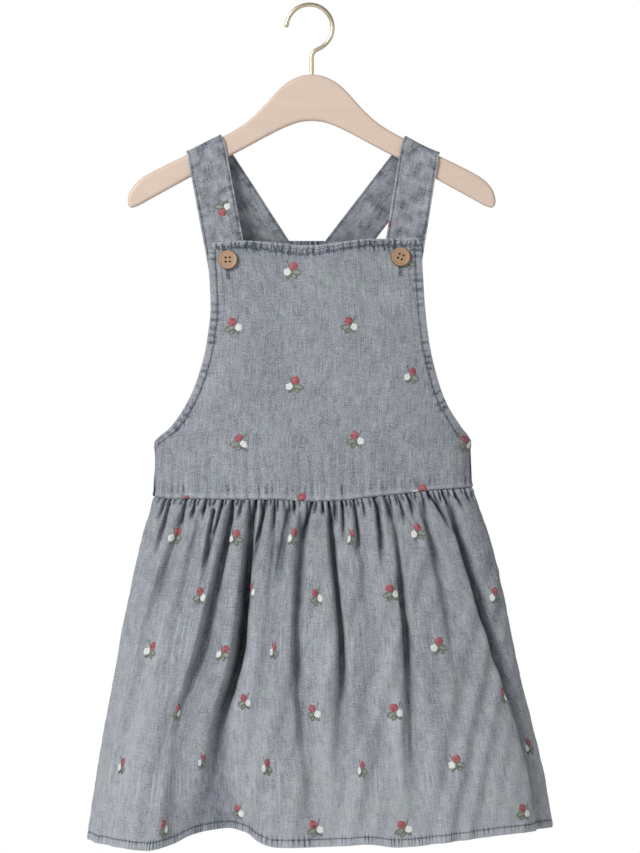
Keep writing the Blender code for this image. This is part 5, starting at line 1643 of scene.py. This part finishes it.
class PINAFORE_OT_buttons(bpy.types.Operator):
    """Turns the two wooden buttons with their four holes, and works the buttonholes under them"""

    bl_idname = "pinafore.buttons"
    bl_label = "Buttons"

    def execute(self, context):
        look = context.scene.pinafore
        work = thread("buttonhole_thread", mixed(look.sewing, 0.3, 0.9), look.sewing)
        light, dark = mixed(look.button, 0.1, 0.9), darkened(look.button, 0.72)
        for key, turn in BUTTON_TURN.items():
            seat, right, up, out = button_frame(key)
            across, along, height, burn_and_shade = drilled(button_profile(), turn)
            rings = seat + across[..., None] * right + along[..., None] * up + height[..., None] * out
            points, faces = tube(rings)
            finish = {"contrast": 0.8, "roughness": 0.5, "burn_and_shade": BUTTON_BURN_AND_SHADE}
            turned = math.radians(BUTTON_GRAIN[key])
            material = wood(f"button_wood_{key}", light, dark, turn=turned, **finish)
            piece = add_piece(f"button_{key}_turned", points, turned_over(faces), [material],
                              fields={"burn_and_shade": burn_and_shade}, sharp=60)
            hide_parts(f"button_{key}")
            self.work_buttonhole(key, seat, work)
        return {"FINISHED"}

    def work_buttonhole(self, key, seat, material):
        """A buttonhole: two ribs of close stitches beside a slit, with a bar across its lower end."""
        cloth = bodice_cloth(-1)
        foot = seat[2] - BUTTONHOLE_FOOT
        rows = np.array([np.interp(seat[0], row[:, 0], row[:, 2]) for row in cloth.points])
        lower = float(np.interp(-foot, -rows, cloth.down))
        share = cloth.spot_at(seat[0], foot, -1)[0]
        half = float(np.interp(lower, cloth.down, cloth.half))
        down = np.linspace(lower - BUTTONHOLE_LENGTH, lower, 90)
        pitch = 0.75  # between the stitches that a rib swells with
        radius = 0.62 + 0.16 * np.cos(2 * math.pi * down / pitch)
        parts = []
        for offset in (-BUTTONHOLE_HALF, BUTTONHOLE_HALF):
            path = cloth.seat(np.full(down.size, share + offset / half), down, 0.2)
            parts.append(tube(path_rings(path, np.array([1.0, 0.0, 0.0]), radius, 7)))
        across = np.linspace(-BUTTONHOLE_BAR, BUTTONHOLE_BAR, 20)
        path = cloth.seat(share + across / half, np.full(across.size, lower + 0.4), 0.3)
        bar = path_rings(path, np.array([0.0, 0.0, 1.0]), 0.75 + 0.12 * np.cos(across * 9), 7)
        points, faces = joined([*parts, tube(bar)])
        add_piece(f"buttonhole_{key}", points, faces, [material], sharp=80)


def hanger_edge(half):
    """A long edge of the hanger from tip to tip, given its right half. Its points crowd at the tips."""
    points = np.array(half if half[0][0] < half[-1][0] else half[::-1], float)
    whole = np.concatenate([points[::-1][:-1] * (-1, 1), points])
    run = length_along(whole)
    crowded = (1 - np.cos(np.linspace(0, math.pi, HANGER_STATIONS))) / 2
    at = run[-1] * (0.35 * crowded + 0.65 * np.linspace(0, 1, HANGER_STATIONS))
    return np.stack([monotone(run, whole[:, k], at) for k in range(2)], axis=-1)


class PINAFORE_OT_hanger(bpy.types.Operator):
    """Shapes the hanger's flat wooden arms with rounded edges"""

    bl_idname = "pinafore.hanger"
    bl_label = "Hanger"

    def execute(self, context):
        look = context.scene.pinafore
        light, dark = mixed(look.hanger, 0.12, 1.0), darkened(look.hanger, 0.9)
        material = wood("hanger_wood_pale", light, dark, contrast=0.55, roughness=0.42)
        top, under = hanger_edge(HANGER_TOP), hanger_edge(HANGER_UNDER)
        height = np.linalg.norm(top - under, axis=1)
        share = (1 - np.cos(np.linspace(0, math.pi, HANGER_FACE_POINTS))) / 2
        inset = np.minimum(share[None, :], 1 - share[None, :]) * height[:, None]
        rounded = np.sqrt(HANGER_ROUND**2 - (HANGER_ROUND - np.minimum(inset, HANGER_ROUND)) ** 2)
        half = HANGER_THICK / 2 - HANGER_ROUND + rounded
        flat = top[:, None] + (under - top)[:, None] * share[None, :, None]
        front = np.stack([flat[..., 0], -half, flat[..., 1]], axis=-1)
        back = np.stack([flat[..., 0], half, flat[..., 1]], axis=-1)[:, ::-1]
        rings = np.concatenate([front, back], axis=1) + (HANGER_X, 0, 0)
        points, faces = tube(rings[1:-1])
        piece = add_piece("hanger_arms", points, faces, [material], sharp=60)
        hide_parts("hanger_wood")
        return {"FINISHED"}


def hook_route():
    """The wire's centreline: the arc from its tip, a turn the other way, and the stem down into the wood."""
    centre = np.array([0, WIRE / 2 - HOOK_RADIUS])
    end = math.radians(HOOK_ARC_END)
    angle = np.linspace(math.pi, end, HOOK_ARC_POINTS)
    arc = centre + HOOK_RADIUS * np.stack([np.cos(angle), np.sin(angle)], axis=-1)
    heading = np.array([math.sin(end), -math.cos(end)])
    left = np.array([-heading[1], heading[0]])
    run = (HANGER_X + HOOK_NECK_RADIUS * (1 - left[0]) - arc[-1][0]) / heading[0]
    neck_centre = arc[-1] + heading * run + left * HOOK_NECK_RADIUS
    angle = np.linspace(math.atan2(-left[1], -left[0]), math.pi, HOOK_NECK_POINTS)
    neck = neck_centre + HOOK_NECK_RADIUS * np.stack([np.cos(angle), np.sin(angle)], axis=-1)
    between = np.linspace(0, 1, HOOK_STRAIGHT_POINTS)[1:-1, None]
    straight = arc[-1] + (neck[0] - arc[-1]) * between
    foot = np.array([HANGER_X, HANGER_TOP[0][1] - SOCKET_DEPTH + GAP])
    stem = neck[-1] + (foot - neck[-1]) * np.linspace(0, 1, HOOK_STEM_POINTS)[1:, None]
    return np.concatenate([arc, straight, neck, stem])


class PINAFORE_OT_hook(bpy.types.Operator):
    """Bends the hanger's brass hook from round wire with a rounded tip"""

    bl_idname = "pinafore.hook"
    bl_label = "Hook"

    def execute(self, context):
        route = hook_route()
        path = np.column_stack([route[:, 0], np.zeros(len(route)), route[:, 1]])
        along = length_along(path)
        at = np.concatenate([HOOK_TIP, along[along > WIRE / 2]])
        path = np.stack([np.interp(at, along, path[:, k]) for k in range(3)], axis=-1)
        short = 1 - np.clip(at / (WIRE / 2), 0.015, 1)
        radius = WIRE / 2 * np.sqrt(1 - short**2)
        points, faces = tube(path_rings(path, np.array([0.0, 1.0, 0.0]), radius, WIRE_SIDES))
        piece = add_piece("hook_wire", points, faces, [brass(context.scene.pinafore)], sharp=60)
        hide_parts("hanger_hook")
        return {"FINISHED"}


class PINAFORE_OT_studio(bpy.types.Operator):
    """Sets up a pale floor, soft lights and a camera square to the dress"""

    bl_idname = "pinafore.studio"
    bl_label = "Studio"

    def execute(self, context):
        look = context.scene.pinafore
        scene = context.scene
        mesh = bpy.data.meshes.new("studio_floor")
        reach = 2.6  # from its middle to each side, in metres
        height = -1.25  # well below the hem
        square = ((-reach, -reach), (reach, -reach), (reach, reach), (-reach, reach))
        mesh.from_pydata([(x, y, height) for x, y in square], [], [(0, 1, 2, 3)])
        floor = bpy.data.objects.new("studio_floor", mesh)
        material, tree, shader = new_material("studio_paint", roughness=0.8)
        place = add_node(tree, "ShaderNodeTexCoord").outputs["Object"]
        tone = stretched_noise(tree, place, (400, 400, 400), 2)
        paint = blend_colours(tree, tone, (0.84, 0.84, 0.84, 1), (0.87, 0.87, 0.87, 1))
        tree.links.new(paint, shader.inputs["Base Color"])
        mesh.materials.append(material)
        scene.collection.objects.link(floor)

        world = bpy.data.worlds.new("studio")
        world.use_nodes = True
        tree = world.node_tree
        tree.nodes.clear()
        seen = add_node(tree, "ShaderNodeLightPath").outputs["Is Camera Ray"]
        strength = maths(tree, "ADD", maths(tree, "MULTIPLY", seen, 1 - look.sky), look.sky)
        background = add_node(tree, "ShaderNodeBackground", {"Color": (1, 1, 1, 1), "Strength": strength})
        output = add_node(tree, "ShaderNodeOutputWorld")
        tree.links.new(background.outputs["Background"], output.inputs["Surface"])
        scene.world = world

        dress_middle = np.array([0.0, 0.0, -0.43])
        for name, place, size, power in (
            ("key", (-1.9, -2.3, 1.0), 1.1, look.key_power),
            ("fill", (2.4, -1.8, -0.2), 1.6, 0.12 * look.key_power),
            ("bounce", (0.2, -2.0, -1.9), 1.8, 0.16 * look.key_power),
            ("rear", (-0.8, 2.4, 0.6), 1.6, 0.30 * look.key_power),
        ):
            light = bpy.data.lights.new(name, "AREA")
            light.energy, light.size = power, size
            lamp = bpy.data.objects.new(name, light)
            lamp.location = place
            aim = dress_middle - np.array(place)
            pitch = math.atan2(math.hypot(aim[0], aim[1]), -aim[2])
            lamp.rotation_euler = (pitch, 0, math.atan2(aim[1], aim[0]) - math.pi / 2)
            scene.collection.objects.link(lamp)

        camera = bpy.data.objects.new("camera", bpy.data.cameras.new("camera"))
        camera.data.sensor_fit = "VERTICAL"
        camera.data.sensor_height = 36
        frame_height = 0.7933  # of what the camera takes in at the hanger's plane
        frame_x, frame_z = 0.0098, -0.3904  # middle of what it takes in
        camera.data.lens = camera.data.sensor_height * look.camera_distance / frame_height
        camera.location = (frame_x, -look.camera_distance, frame_z)
        camera.rotation_euler = (math.pi / 2, 0, 0)
        scene.collection.objects.link(camera)
        scene.camera = camera
        scene.view_settings.view_transform = "Standard"
        return {"FINISHED"}


OPERATORS = (
    PINAFORE_OT_hanger, PINAFORE_OT_hook, PINAFORE_OT_bodice, PINAFORE_OT_skirt, PINAFORE_OT_straps,
    PINAFORE_OT_stitching, PINAFORE_OT_embroidery, PINAFORE_OT_buttons, PINAFORE_OT_studio,
)


class PINAFORE_PT_panel(bpy.types.Panel):
    """Lists the dress's settings and pieces"""

    bl_idname = "PINAFORE_PT_panel"
    bl_label = "Pinafore Dress"
    bl_space_type = "VIEW_3D"
    bl_region_type = "UI"
    bl_category = "Pinafore"

    def draw(self, context):
        look = context.scene.pinafore
        for label in PinaforeSettings.__annotations__:
            self.layout.prop(look, label)
        for operator in OPERATORS:
            self.layout.operator(operator.bl_idname)


CLASSES = (PinaforeSettings, *OPERATORS, PINAFORE_PT_panel)


def register():
    for cls in CLASSES:
        bpy.utils.register_class(cls)
    bpy.types.Scene.pinafore = bpy.props.PointerProperty(type=PinaforeSettings)


def unregister():
    del bpy.types.Scene.pinafore
    for cls in reversed(CLASSES):
        bpy.utils.unregister_class(cls)


def main():
    register()
    for operator in OPERATORS:
        group, name = operator.bl_idname.split(".")
        getattr(getattr(bpy.ops, group), name)()


if __name__ == "__main__":
    main()
